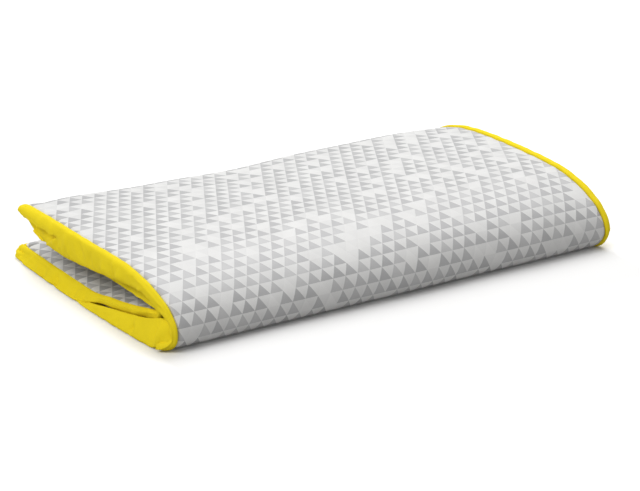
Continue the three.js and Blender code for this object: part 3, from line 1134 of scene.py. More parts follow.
@dataclass
class SideHem:
    """Yellow hem of one long side: cloth folded double and drawn in by an elastic cord."""

    path: FoldPath
    side: Side
    sizes: HemSizes = HemSizes()
    outlines: HemOutlines = HemOutlines()
    gathers: GatherChances = GatherChances()
    slack: Pocket = Pocket()
    elastic: CordSizes = CordSizes()
    cuts: int = 3
    bands: dict[Length, Object] = field(default_factory=dict)

    def level(self, y: Array, z: float, face: float, stretch: Stretch) -> Stations:
        """Stations on a flat part of the panel.

        Args:
            y: places from the front to the back, or the other way.
            z: height of the printed face.
            face: 1 where the print looks up, -1 where it looks down.
            stretch: the stretch that the stations belong to.

        Returns:
            The stations.
        """
        start = self.path.starts[stretch]
        run = start + np.abs(y - y[0])
        zero = np.zeros_like(y)
        return Stations(y, zero + z, zero, zero + face, run, zero, (zero + stretch.value).astype(int))

    def stations(self, length: Length) -> Stations:
        """Stations of one length of the hem.

        Args:
            length: the length.

        Returns:
            The stations, past the free ends of the panel where the hem reaches past them.
        """
        s, h = self.path.sizes, self.sizes
        if length is Length.BOTTOM:
            y = np.linspace(s.lower_depth + s.end_reach, h.front_end, h.bottom_rings)
            return self.level(y, 0.0, -1.0, Stretch.BOTTOM)
        plans: dict[Length, Plan] = {
            Length.LOWER: [(Stretch.ROLL_LOWER, 0.0, 1.0, 22), (Stretch.ROLL_UPPER, 0.0, 0.5, 16)],
            Length.UPPER: [
                (Stretch.ROLL_UPPER, 0.5, 1.0, 12),
                (Stretch.TOP, 0.0, 1.0, 100),
                (Stretch.BACK_FOLD, 0.0, 1.0, 24),
            ],
            Length.INNER: [
                (Stretch.UNDER, 0.0, 1.0, 80),
                (Stretch.CREASE, 0.0, 1.0, 10),
                (Stretch.INNER, 0.0, 1.0, 90),
            ],
        }
        folded = self.path.stations(plans[length])
        if length is not Length.INNER:
            return folded
        y = s.lower_depth + np.linspace(h.end_start, s.end_reach, h.end_rings)
        past = self.level(y, s.inner_print, 1.0, Stretch.INNER)
        past.run = folded.run[-1] + past.y - s.lower_depth
        return folded.then(past)

    def width(self, at: Stations) -> Array:
        """How far the hem stands out of the seam.

        Args:
            at: the stations.

        Returns:
            One width for each station.
        """
        s, h = self.path.sizes, self.sizes
        right = self.side is Side.RIGHT
        foot = h.right_floor_width if right else h.floor_width
        extra = h.right_extra if right else 0.0
        thin = h.under_width if right else h.tucked_width
        tucked = eased(at.y, *(self.path.back_y - reach for reach in h.tuck_run))
        return at.chosen({
            Stretch.ROLL_LOWER: mixed(foot, h.roll_width, eased(at.share, 0.0, h.roll_share)),
            Stretch.ROLL_UPPER: mixed(h.roll_width, h.width, at.share) + extra,
            Stretch.TOP: h.width + extra,
            Stretch.BACK_FOLD: mixed(h.width, thin, eased(at.share, *h.tuck_shares)),
            Stretch.UNDER: mixed(h.under_width, thin, tucked),
            Stretch.CREASE: h.under_width,
            Stretch.INNER: mixed(h.under_width, h.width, eased(at.y, s.crease_depth, self.path.bend_end)),
        }, h.width)

    def height(self, at: Stations) -> Array:
        """How far the hem hangs below the printed face.

        Args:
            at: the stations.

        Returns:
            One height for each station.
        """
        s, h = self.path.sizes, self.sizes
        back, bent, run = self.path.back_y, self.path.bend_end, s.under_run
        skirt = h.right_skirt if self.side is Side.RIGHT else h.skirt
        front, last = along(np.array([s.upper_fold_depth, self.path.back_start]), skirt)
        tall = eased(at.y, bent, bent + run) - eased(at.y, back - 2 * run, back - run)
        low = mixed(s.hem_height_back, h.fold_height, eased(at.y, *(back - reach for reach in h.under_rise)))
        return at.chosen({
            Stretch.ROLL_UPPER: mixed(h.roll_height, front, eased(at.share, 0.0, 1.0)),
            Stretch.TOP: along(at.y, skirt),
            Stretch.BACK_FOLD: mixed(last, h.fold_height, eased(at.share, *h.fold_shares)),
            Stretch.UNDER: mixed(low, h.under_height, tall),
            Stretch.CREASE: h.inner_height,
            Stretch.INNER: h.inner_height,
        }, h.roll_height)

    def creases(self, at: Stations, share: float) -> Array:
        """Uneven creases across the hem, from the cloth that the elastic draws together.

        Args:
            at: the stations.
            share: place on the hem's outer wall, from 0 at the seam to 1 at its lower edge.

        Returns:
            One height for each station, mostly between -1 and 1.
        """
        g = self.gathers
        dice = np.random.default_rng(g.left_seed if self.side is Side.LEFT else g.right_seed)
        low = self.path.starts[Stretch.BOTTOM] - g.past_ends
        high = self.path.starts[Stretch.END] + g.past_ends
        count = int((high - low) / g.spacing)
        places = np.linspace(low, high, count) + dice.uniform(*g.shift, count)
        slants = dice.uniform(*g.slant, count)
        widths = dice.uniform(*g.width, count)
        heights = dice.uniform(*g.height, count) * dice.choice([-1.0, 1.0], count)
        middles = dice.uniform(*g.middle, count)
        spans = dice.uniform(*g.span, count)
        seen = heights * np.exp(-(((share - middles) / spans) ** 2))
        offset = at.run[:, None] - places[None, :] - slants[None, :] * (share - 0.5)
        return (seen[None, :] * np.exp(-((offset / widths[None, :]) ** 2))).sum(axis=1)

    def hanging_outline(self, at: Stations) -> Array:
        """Corner points of a hem that hangs over the edge.

        Args:
            at: the stations.

        Returns:
            For each station, rows of u out of the seam and depth below the print.
        """
        h = self.sizes
        width, fall = self.width(at), self.path.fall(at)
        deep = self.height(at) - fall
        slack = np.clip(deep / h.slack_height, h.least_slack, 1.0)
        corners = np.array(self.outlines.hanging)
        square = corners[:, :2].copy()
        square[1:5] = self.outlines.boxed
        boxed = np.zeros_like(fall)
        if self.side is Side.LEFT:
            taut = np.where(at.on(Stretch.TOP), eased(at.y, *h.taut_run), at.on(Stretch.BACK_FOLD))
            slack = slack * (1 - h.taut_loss * taut)
            boxed = at.on(Stretch.BACK_FOLD) * taut * eased(at.share, *h.boxed_shares)
        else:
            corners[1:5, :2] = self.outlines.right
        spots = []
        for (out, down, share, loose), (flush, dip) in zip(corners, square):
            u = width * mixed(out, flush, boxed) + h.hanging_wave * loose * slack * self.creases(at, share)
            spots.append(np.stack([u, fall + mixed(down, dip, boxed) + deep * share], -1))
        return np.stack(spots, axis=1)

    def slanted_outline(self, at: Stations) -> Array:
        """Corner points of the inner ply's hem where it slants over the bottom ply's hem, down to the floor.

        Args:
            at: the stations.

        Returns:
            For each station, rows of u out of the seam and depth below the print.
        """
        h, level = self.sizes, self.path.sizes.inner_print
        fall = self.path.fall(at)
        edge = along(at.y, h.slant_edge) * self.narrowing()
        lifted = 1 - h.end_lift * eased(at.y, *h.end_lift_run)
        out_from, down_from = h.slant_pivot
        spots = []
        for place, (out, down, share, loose) in enumerate(self.outlines.slanted):
            wave = h.slant_wave * self.narrowing() * loose * self.creases(at, share)
            reach = out_from + (out - out_from) * lifted if out > out_from else out
            drop = down_from + (share - down_from) * lifted if share > down_from else share
            lowest = level - (h.slant_gap if place < self.outlines.slanted_lower else h.lower_gap)
            depth = np.minimum(fall + down + (level - fall) * drop - wave, lowest)
            spots.append(np.stack([edge * reach + h.slant_sideways * wave, depth], -1))
        return np.stack(spots, axis=1)

    def narrowing(self) -> float:
        """Share of the left side's width that the hems on the floor have on this side."""
        return 1.0 if self.side is Side.LEFT else self.sizes.right_floor_width / self.sizes.floor_width

    def slanting(self, at: Stations) -> Array:
        """Share from 0 to 1 by which the inner ply's hem slants down to the floor."""
        return eased(at.y, *self.sizes.slant_run) * at.on(Stretch.INNER)

    def standing_outline(self, at: Stations) -> Array:
        """Corner points of the bottom ply's hem, which stands up from the floor beside the roll.

        Args:
            at: the stations.

        Returns:
            For each station, rows of u out of the seam and height over the floor.
        """
        h = self.sizes
        top = along(at.y, h.right_wall_height if self.side is Side.RIGHT else h.wall_height)
        lean = along(at.y, h.wall_lean) * self.narrowing()
        foot = along(at.y, h.wall_foot) * self.narrowing()
        base = along(at.y, h.lifted)
        stuffed = np.minimum(along(at.y, h.stuffed_height), top - h.stuffed_gap)
        tall = np.clip(top / h.wall_full, h.wall_calm, 1.0)
        inner = np.maximum(lean - h.wall_back, h.wall_least)
        low = base + h.wall_bead
        none = np.zeros_like(lean)
        # Each row is a corner: how far out of the seam, how high over the floor, and how loose.
        rows = [
            (none + 0.3, base + 1.6, 0.0),
            (none + 0.4, base + 0.3, 0.0),
            (0.45 * foot, base + 0.1, 0.0),
            (0.86 * foot, base + 0.2, 0.1),
            (foot, low, 0.3),
            (mixed(foot, lean, 0.3) + 0.5, mixed(low, top, 0.33), 0.9),
            (mixed(foot, lean, 0.62) + 0.6, mixed(low, top, 0.66), 1.0),
            (lean + 0.9, top - 0.9, 0.6),
            (lean, top, 0.3),
            (mixed(lean, inner, 0.7), top - 0.7, 0.2),
            (inner, mixed(stuffed, top, 0.35), 0.1),
            (mixed(inner, h.wall_least, 0.6), stuffed, 0.0),
            (none + 0.5, mixed(base, stuffed, 0.75), 0.0),
            (none + 0.35, mixed(base, stuffed, 0.45), 0.0),
        ]
        spots = []
        for u, z, loose in rows:
            wave = h.wall_wave * loose * tall * self.creases(at, 1 - float(np.mean(z / top)))
            spots.append(np.stack([u + wave, z], -1))
        return np.stack(spots, axis=1)

    def outline(self, at: Stations, length: Length) -> Array:
        """Smooth closed outline of the hem at each station, drawn together at the free ends.

        Args:
            at: the stations.
            length: the length that they are on.

        Returns:
            Rows of u out of the seam and depth below the print.
        """
        h = self.sizes
        if length is Length.BOTTOM:
            outline = round_outline(self.standing_outline(at), self.cuts)
            outline = self.rounded_end(at, outline, True, h.end_round)
            return self.rounded_end(at, outline, False, h.front_round)
        corners = self.hanging_outline(at)
        if length is not Length.INNER:
            return round_outline(corners, self.cuts)
        corners = mixed(corners, self.slanted_outline(at), self.slanting(at)[:, None, None])
        return self.rounded_end(at, round_outline(corners, self.cuts), False, h.end_round)

    def rounded_end(self, at: Stations, outline: Array, first: bool, reach: float) -> Array:
        """Draws the outline together towards one end of the hem.

        Args:
            at: the stations.
            outline: the outlines.
            first: whether it is the first end.
            reach: length over which the end is rounded, in millimetres.

        Returns:
            The outlines with a rounded end.
        """
        left_over = at.run - at.run[0] if first else at.run[-1] - at.run
        share = np.clip(1 - left_over / reach, 0.0, 1.0)
        size = np.maximum(np.sqrt(1 - share**2), self.sizes.least_end)[:, None, None]
        middle = outline.mean(axis=1, keepdims=True)
        return middle + (outline - middle) * size

    def pocket(self, at: Stations, points: Array) -> Array:
        """Presses in the slack below the back left corner, under the strip that hangs from the top seam.

        Args:
            at: the stations.
            points: points of the upper hem in millimetres.

        Returns:
            The points with the pocket pressed in.
        """
        p = self.slack
        y, z = points[..., 1], points[..., 2]
        mask = np.ones_like(y)
        for (y0, z0), (y1, z1), run in zip(p.corners, p.corners[1:] + p.corners[:1], p.softness):
            norm = math.hypot(y1 - y0, z1 - z0)
            inside = ((y1 - y0) * (z - z0) - (z1 - z0) * (y - y0)) / norm
            mask = mask * eased(inside, 0.0, run)
        moved = points.copy()
        seam = self.path.seam(at, self.side)[:, None]
        rim = eased(z - p.rim_height, -p.rim_soft, p.rim_soft) * eased(y, *p.rim_along)
        rim = rim * (1 - eased(z, *p.rim_fade))
        outer = eased(seam - points[..., 0], *p.outer_run)
        room = (self.width(at) - p.least_width)[:, None]
        press = mixed(p.inner_press, mixed(*p.outer_press, eased(z, *p.press_heights)), outer)
        pushed = np.minimum(press, room) * mask - p.rim * rim * outer
        moved[..., 0] += pushed * at.on(Stretch.TOP, Stretch.BACK_FOLD)[:, None]
        return moved

    def grooves(self, at: Stations, points: Array) -> Array:
        """Presses long creases into the hem that slants down to the floor, towards the back left end.

        Args:
            at: the stations.
            points: points of the inner hem in millimetres.

        Returns:
            The points with the creases.
        """
        p = self.slack
        y, z = points[..., 1], points[..., 2]
        sunk = np.zeros_like(y)
        for (y0, z0), (y1, z1), deep, wide in p.creases:
            dy, dz = y1 - y0, p.crease_rise * (z1 - z0)
            up = p.crease_rise * (z - z0)
            share = np.clip(((y - y0) * dy + up * dz) / (dy**2 + dz**2), 0.0, 1.0)
            gap = np.hypot(y - y0 - share * dy, up - share * dz)
            sunk = sunk + deep * np.exp(-((gap / wide) ** 2))
        outer = np.zeros(points.shape[1])
        first, last = p.crease_corners
        outer[first * self.cuts : last * self.cuts] = 1.0
        sunk = sunk * outer[None, :] * at.on(Stretch.INNER)[:, None]
        return points + sunk[..., None] * np.array(p.crease_push)

    def lay(self, at: Stations, u: Array, depth: Array) -> Array:
        """Points of the hem or its cord beside the seam.

        Args:
            at: the stations.
            u: distances out of the seam, one row for each station.
            depth: depths below the print, of the shape of u.

        Returns:
            Points in millimetres, one row for each station.
        """
        seam = self.path.seam(at, self.side)[:, None]
        x = seam + self.side.value * (self.sizes.gap + u)
        return self.path.place(at, x, depth - self.path.relief(at, seam))

    def band(self, length: Length) -> Object:
        """Makes one length of the hem.

        Args:
            length: the length.

        Returns:
            The piece.
        """
        at = self.stations(length)
        outline = self.outline(at, length)
        points = self.lay(at, outline[..., 0], outline[..., 1])
        if self.side is Side.LEFT and length is Length.UPPER:
            points = self.pocket(at, points)
        if self.side is Side.LEFT and length is Length.INNER:
            points = self.grooves(at, points)
        uv = Bench.flat_places(girth(outline), at.run)
        ends = (length is Length.BOTTOM, length in (Length.BOTTOM, Length.INNER))
        piece = Bench.tube(f"hem_{length.hem_word}_{self.side.word}", self.path.in_frame(points), uv, ends)
        Bench.thicken(piece, self.sizes.cloth)
        Bench.smooth(piece, SHARP_HEM)
        return piece

    def cord(self, length: Length) -> Object:
        """Makes the elastic cord in the tunnel of one length of the hem.

        Args:
            length: the length.

        Returns:
            The piece.
        """
        s, c = self.path.sizes, self.elastic
        at = self.stations(length)
        keep = (at.y < s.lower_depth - c.end_gap) | at.on(Stretch.BACK_FOLD)
        if length is Length.BOTTOM:
            at = at.only(keep & (at.y > s.foot_depth + c.end_gap))
            u = c.floor_share * (along(at.y, self.sizes.wall_foot) * self.narrowing())
            depth = 0.5 * np.minimum(along(at.y, self.sizes.stuffed_height), c.floor_room) + c.floor_gap
            thick = np.full_like(u, c.radius)
        else:
            at = at.only(keep)
            width, fall, sunk = self.width(at), self.path.fall(at), self.slanting(at)
            u = mixed(np.minimum(0.5 * width, width - c.edge_gap), c.slanted_out * self.narrowing(), sunk)
            depth = mixed(np.minimum((self.height(at) + fall) / 2, c.deepest), fall + c.slanted_depth, sunk)
            thick = np.clip(width / 2 - c.wall, c.least_radius, c.radius)
            thick = mixed(thick, c.radius * self.narrowing(), sunk)
        cosine, sine = c.ring().T
        points = self.lay(at, u[:, None] + thick[:, None] * cosine, depth[:, None] + thick[:, None] * sine)
        uv = Bench.flat_places(np.linspace(0.0, c.girth, c.sides + 1)[None, :], at.run)
        name = f"elastic_{length.hem_word}_{self.side.word}"
        piece = Bench.tube(name, self.path.in_frame(points), uv, (True, True))
        Bench.smooth(piece, SHARP_HEM)
        return piece

    def build(self, cloth: Material, elastic: Material) -> None:
        """Makes and dresses all the lengths of the hem and its cord, hangs the bottom ones on the lower ply's
        body and bakes the transforms of the others.

        Args:
            cloth: finish of the hem cloth.
            elastic: finish of the cord.
        """
        for length in Length:
            self.bands[length] = self.band(length)
            for kind, piece, finish, slot in (
                ("hem", self.bands[length], cloth, "hem_cloth"),
                ("elastic", self.cord(length), elastic, "elastic"),
            ):
                words = [f"{word}_{kind}_{self.side.word}" for word in length.solids]
                Bench.dress(piece, finish, slot, words)
                bend_with(self.path, piece, length)


@dataclass
class EndHem:
    """Yellow hem across one free end of the panel, with its cord; sizes in millimetres."""

    path: FoldPath
    name: str
    body: str
    height: float
    facing: float
    outline: Table
    cord_place: Pair
    elastic: CordSizes = CordSizes()
    steps: int = 120
    cuts: int = 3
    gap: float = 0.3
    cloth: float = 0.8
    cord_inset: float = 2.0
    drift: tuple[Triple, ...] = ((5.0, 21.0, 0.0), (3.0, 9.7, 0.6))
    waves: tuple[Triple, ...] = ((0.35, 4.3, 0.0), (0.2, 2.4, 1.0))
    reach_wave: float = 0.06
    depth_wave: float = 0.25
    still_reach: float = 4.0

    @staticmethod
    def swing(x: Array, rows: tuple[Triple, ...]) -> Array:
        """Sum of sine waves, each with its height, length and shift."""
        return sum(height * np.sin(x / length + shift) for height, length, shift in rows)

    def tube(self, name: str, corners: Array, inset: float) -> Object:
        """Makes one closed tube along the end, from the left seam to the right one.

        Args:
            name: name of the piece.
            corners: closed outline as pairs of reach past the end and depth below the print.
            inset: distance that the tube keeps from the side seams.

        Returns:
            The piece.
        """
        s = self.path.sizes
        place = (s.lower_depth, self.height, 0.0, self.facing, 0.0, 0.0)
        end = Stations(*(np.array([v]) for v in place), np.array([Stretch.BOTTOM.value]))
        left = float(self.path.seam(end, Side.LEFT)[0]) + inset
        right = float(self.path.seam(end, Side.RIGHT)[0]) - inset
        x = np.linspace(left, right, self.steps + 1)
        wave = self.swing(x + self.swing(x, self.drift), self.waves)[:, None]
        out, down = corners[None, :, 0], corners[None, :, 1]
        depth = down + self.depth_wave * wave * (out > self.still_reach)
        y = s.lower_depth + s.crease_gap + out * (1 + self.reach_wave * wave)
        z = np.maximum(self.height - self.facing * depth, 0.0)
        points = np.stack(np.broadcast_arrays(x[:, None], y, z), -1)
        uv = Bench.flat_places(girth(corners[None]), x)
        return Bench.tube(name, self.path.in_frame(points), uv, (True, True))

    def build(self, cloth: Material, elastic: Material) -> list[Object]:
        """Makes, dresses and hangs the hem and its cord.

        Args:
            cloth: finish of the hem cloth.
            elastic: finish of the cord.

        Returns:
            The two pieces.
        """
        corners = round_outline(np.array(self.outline)[None], self.cuts)[0]
        hem = self.tube(f"hem_{self.name}_end", corners, self.gap)
        Bench.thicken(hem, self.cloth)
        ring = np.array(self.cord_place) + self.elastic.radius * self.elastic.ring()
        cord = self.tube(f"elastic_{self.name}_end", ring, self.cord_inset)
        for piece, kind, finish, slot in (
            (hem, "hem", cloth, "hem_cloth"),
            (cord, "elastic", elastic, "elastic"),
        ):
            Bench.smooth(piece, SHARP_HEM)
            Bench.dress(piece, finish, slot, [f"{self.name}_{kind}_end"])
            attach(piece, self.body)
        return [hem, cord]


class NodeSketch:
    """A node tree that is being drawn, with short ways to add and join its nodes."""

    def __init__(self, tree: NodeTree) -> None:
        """Starts on a node tree."""
        self.tree = tree

    def add(self, kind: str, **settings: object) -> Node:
        """Adds a node and sets its options.

        Args:
            kind: kind of node.
            settings: its options.

        Returns:
            The node.
        """
        node = self.tree.nodes.new(kind)
        for name, value in settings.items():
            setattr(node, name, value)
        return node

    def join(self, source: NodeSocket, target: NodeSocket) -> None:
        """Joins two sockets."""
        self.tree.links.new(source, target)

    def math(self, operation: str, *values: object) -> NodeSocket:
        """Adds a math node.

        Args:
            operation: the operation.
            values: numbers or sockets, in the order of its inputs.

        Returns:
            The result's socket.
        """
        node = self.add("ShaderNodeMath", operation=operation)
        for socket, value in zip(node.inputs, values):
            if isinstance(value, (int, float)):
                socket.default_value = value
            else:
                self.join(value, socket)
        return node.outputs[0]

    def parts(self, vector: NodeSocket) -> NodeOutputs:
        """Takes a vector apart.

        Args:
            vector: the vector's socket.

        Returns:
            The sockets of its three parts.
        """
        node = self.add("ShaderNodeSeparateXYZ")
        self.join(vector, node.inputs[0])
        return node.outputs

    def noise(self, vector: NodeSocket, scale: float, detail: float) -> NodeSocket:
        """Adds a flat noise.

        Args:
            vector: place at which it is read.
            scale: spots to the metre.
            detail: finer layers in it.

        Returns:
            The noise's socket.
        """
        node = self.add("ShaderNodeTexNoise", noise_dimensions="2D")
        node.inputs["Scale"].default_value = scale
        node.inputs["Detail"].default_value = detail
        self.join(vector, node.inputs["Vector"])
        return node.outputs[0]

    def chance(self, vector: NodeSocket, dimensions: str) -> NodeSocket:
        """Adds a chance value for each whole place.

        Args:
            vector: the place.
            dimensions: the number of its parts that count, as the node words it.

        Returns:
            The value's socket.
        """
        node = self.add("ShaderNodeTexWhiteNoise", noise_dimensions=dimensions)
        self.join(vector, node.inputs["Vector"])
        return node.outputs["Value"]


@dataclass(frozen=True)
class Weaving:
    """Shader node groups that the cloths share, with the measures of their patterns."""

    thread_noise: Pair = (900.0, 2.0)
    thread_height: float = 0.5
    tone_noises: tuple[Pair, ...] = ((35.0, 3.0), (1300.0, 1.0))
    print_start: Pair = (-0.21434, 0.01812)
    row_shift: float = -0.5
    ink_tones: Pair = (0.4, 0.7)
    ground_tone: float = 0.2

    @staticmethod
    def start(name: str, inputs: list[tuple[str, str]], outputs: list[tuple[str, str]]) -> NodeSketch:
        """Starts a node group with its sockets.

        Args:
            name: name of the group.
            inputs: names and kinds of its inputs.
            outputs: names and kinds of its outputs.

        Returns:
            The sketch of the group.
        """
        tree = bpy.data.node_groups.new(name, "ShaderNodeTree")
        for words, way in ((inputs, "INPUT"), (outputs, "OUTPUT")):
            for label, kind in words:
                tree.interface.new_socket(label, in_out=way, socket_type=f"NodeSocket{kind}")
        sketch = NodeSketch(tree)
        sketch.add("NodeGroupInput").name = "in"
        sketch.add("NodeGroupOutput").name = "out"
        return sketch

    def weave(self) -> NodeTree:
        """Plain weave: height of the crossing threads, at a given number of threads to the metre.

        Returns:
            The node group.
        """
        sketch = self.start("plain_weave", [("Flat", "Vector"), ("Threads", "Float")], [("Height", "Float")])
        given, result = sketch.tree.nodes["in"], sketch.tree.nodes["out"]
        place = sketch.parts(given.outputs["Flat"])
        turn = sketch.math("MULTIPLY", given.outputs["Threads"], math.pi)
        across = sketch.math("SINE", sketch.math("MULTIPLY", place[0], turn))
        down = sketch.math("SINE", sketch.math("MULTIPLY", place[1], turn))
        uneven = sketch.noise(given.outputs["Flat"], *self.thread_noise)
        crossing = sketch.math("MULTIPLY", across, down)
        height = sketch.math("MULTIPLY_ADD", crossing, self.thread_height, uneven)
        sketch.join(height, result.inputs["Height"])
        return sketch.tree

    def mottling(self) -> NodeTree:
        """Slight unevenness of tone, as a factor near 1, from broad cloudiness and fine fibres.

        Returns:
            The node group.
        """
        sketch = self.start("mottled_tone", [("Flat", "Vector"), ("Depth", "Float")], [("Tone", "Float")])
        given, result = sketch.tree.nodes["in"], sketch.tree.nodes["out"]
        noises = [sketch.noise(given.outputs["Flat"], *measures) for measures in self.tone_noises]
        both = sketch.math("SUBTRACT", sketch.math("ADD", *noises), 1.0)
        tone = sketch.math("MULTIPLY_ADD", both, given.outputs["Depth"], 1.0)
        sketch.join(tone, result.inputs["Tone"])
        return sketch.tree

    def triangles(self) -> NodeTree:
        """Print of rows of triangles, as a mask that is 1 on the darker ones.

        Returns:
            The node group.
        """
        sketch = self.start(
            "triangle_rows",
            [("Flat", "Vector"), ("Base", "Float"), ("Row", "Float"), ("Spared", "Float")],
            [("Mask", "Float")],
        )
        given, result = sketch.tree.nodes["in"], sketch.tree.nodes["out"]
        place = sketch.parts(given.outputs["Flat"])
        across, row = (
            sketch.math("DIVIDE", sketch.math("ADD", part, -start), given.outputs[measure])
            for part, start, measure in zip(place, self.print_start, ("Base", "Row"))
        )
        slanted = sketch.math("MULTIPLY_ADD", row, self.row_shift, across)
        corner = sketch.math("ADD", sketch.math("FRACT", slanted), sketch.math("FRACT", row))
        standing = sketch.math("LESS_THAN", corner, 1.0)
        cell = sketch.add("ShaderNodeCombineXYZ")
        whole = (sketch.math("FLOOR", slanted), sketch.math("FLOOR", row), standing)
        for value, part in zip(whole, cell.inputs):
            sketch.join(value, part)
        chance = sketch.chance(cell.outputs[0], "2D")
        uneven = sketch.chance(cell.outputs[0], "3D")
        printed = sketch.math("GREATER_THAN", chance, given.outputs["Spared"])
        tone = sketch.math("MULTIPLY_ADD", uneven, *self.ink_tones)
        inked = sketch.math("MULTIPLY", sketch.math("MULTIPLY", standing, printed), tone)
        bare = sketch.math("SUBTRACT", 1.0, standing)
        ground = sketch.math("MULTIPLY", bare, sketch.math("MULTIPLY", uneven, self.ground_tone))
        sketch.join(sketch.math("ADD", inked, ground), result.inputs["Mask"])
        return sketch.tree


@dataclass(frozen=True)
class ClothFinish:
    """Look of a woven cloth."""

    name: str
    colour: Triple
    roughness: float = 0.8
    specular: float = 0.12
    sheen: float = 0.0
    sheen_roughness: float = 0.5
    threads: float = 1500.0
    weave_depth: float = 0.00012
    weave_strength: float = 0.5
    mottle: float = 0.14

    def sketch(self) -> tuple[Material, NodeSketch, Node]:
        """Starts the material.

        Returns:
            The material, the sketch of its nodes and its shader.
        """
        material = bpy.data.materials.new(self.name)
        material.use_nodes = True
        sketch = NodeSketch(material.node_tree)
        shader = material.node_tree.nodes["Principled BSDF"]
        shader.inputs["Base Color"].default_value = (*self.colour, 1.0)
        shader.inputs["Roughness"].default_value = self.roughness
        shader.inputs["Specular IOR Level"].default_value = self.specular
        shader.inputs["Sheen Weight"].default_value = self.sheen
        shader.inputs["Sheen Roughness"].default_value = self.sheen_roughness
        return material, sketch, shader

    def use(self, sketch: NodeSketch, tree: NodeTree, **values: float) -> Node:
        """Adds a shared group that reads the place on the cloth.

        Args:
            sketch: sketch of the material.
            tree: the group.
            values: numbers for its other inputs.

        Returns:
            The group's node.
        """
        node = sketch.add("ShaderNodeGroup", node_tree=tree)
        sketch.join(sketch.add("ShaderNodeUVMap", uv_map="cloth").outputs[0], node.inputs["Flat"])
        for name, value in values.items():
            node.inputs[name].default_value = value
        return node

    def surface(self, sketch: NodeSketch, shader: Node, weave: NodeTree) -> None:
        """Gives the shader the relief of the threads.

        Args:
            sketch: sketch of the material.
            shader: its shader.
            weave: the shared weave.
        """
        threads = self.use(sketch, weave, Threads=self.threads)
        bump = sketch.add("ShaderNodeBump")
        bump.inputs["Strength"].default_value = self.weave_strength
        bump.inputs["Distance"].default_value = self.weave_depth
        sketch.join(threads.outputs["Height"], bump.inputs["Height"])
        sketch.join(bump.outputs["Normal"], shader.inputs["Normal"])

    def toned(self, sketch: NodeSketch, colour: NodeSocket | None, mottling: NodeTree) -> NodeSocket:
        """Colour with the shared unevenness of tone.

        Args:
            sketch: sketch of the material.
            colour: the colour, or nothing for the plain one.
            mottling: the shared unevenness.

        Returns:
            The uneven colour.
        """
        tone = self.use(sketch, mottling, Depth=self.mottle)
        mix = sketch.add("ShaderNodeVectorMath", operation="SCALE")
        if colour is None:
            mix.inputs[0].default_value = self.colour
        else:
            sketch.join(colour, mix.inputs[0])
        sketch.join(tone.outputs["Tone"], mix.inputs["Scale"])
        return mix.outputs[0]

    def make(self, weave: NodeTree, mottling: NodeTree) -> Material:
        """Makes the material of plain dyed cloth.

        Args:
            weave: the shared weave.
            mottling: the shared unevenness of tone.

        Returns:
            The material.
        """
        material, sketch, shader = self.sketch()
        sketch.join(self.toned(sketch, None, mottling), shader.inputs["Base Color"])
        self.surface(sketch, shader, weave)
        return material


@dataclass(frozen=True)
class PrintedFinish(ClothFinish):
    """Look of the cover cloth: a light ground with darker triangles printed on it."""

    ink: Triple = (0.355, 0.355, 0.36)
    base: float = 0.013
    row: float = 0.01184
    spared: float = 0.17
    gleam: float = 0.2

    def printed(self, weave: NodeTree, mottling: NodeTree, triangles: NodeTree) -> Material:
        """Makes the material with its print.

        Args:
            weave: the shared weave.
            mottling: the shared unevenness of tone.
            triangles: the print.

        Returns:
            The material.
        """
        material, sketch, shader = self.sketch()
        mask = self.use(sketch, triangles, Base=self.base, Row=self.row, Spared=self.spared)
        mix = sketch.add("ShaderNodeMix", data_type="RGBA")
        colours = [socket for socket in mix.inputs if socket.type == "RGBA"]
        colours[0].default_value = (*self.colour, 1.0)
        colours[1].default_value = (*self.ink, 1.0)
        sketch.join(mask.outputs["Mask"], mix.inputs["Factor"])
        sketch.join(sketch.math("MULTIPLY", mask.outputs["Mask"], self.gleam), shader.inputs["Metallic"])
        ground = next(socket for socket in mix.outputs if socket.type == "RGBA")
        sketch.join(self.toned(sketch, ground, mottling), shader.inputs["Base Color"])
        self.surface(sketch, shader, weave)
        return material


@dataclass(frozen=True)
class Lamp:
    """A square soft lamp: its name, where it hangs and its side in metres, and its power in watts."""

    name: str
    place: Triple
    size: float
    power: float

    def hang(self, target: Triple) -> None:
        """Adds the lamp to the scene.

        Args:
            target: the point that it looks at.
        """
        light = bpy.data.lights.new(self.name, "AREA")
        light.size = self.size
        light.energy = self.power
        lamp = bpy.data.objects.new(self.name, light)
        lamp.location = self.place
        lamp.rotation_euler = (Vector(target) - Vector(self.place)).to_track_quat("-Z", "Y").to_euler()
        bpy.context.scene.collection.objects.link(lamp)


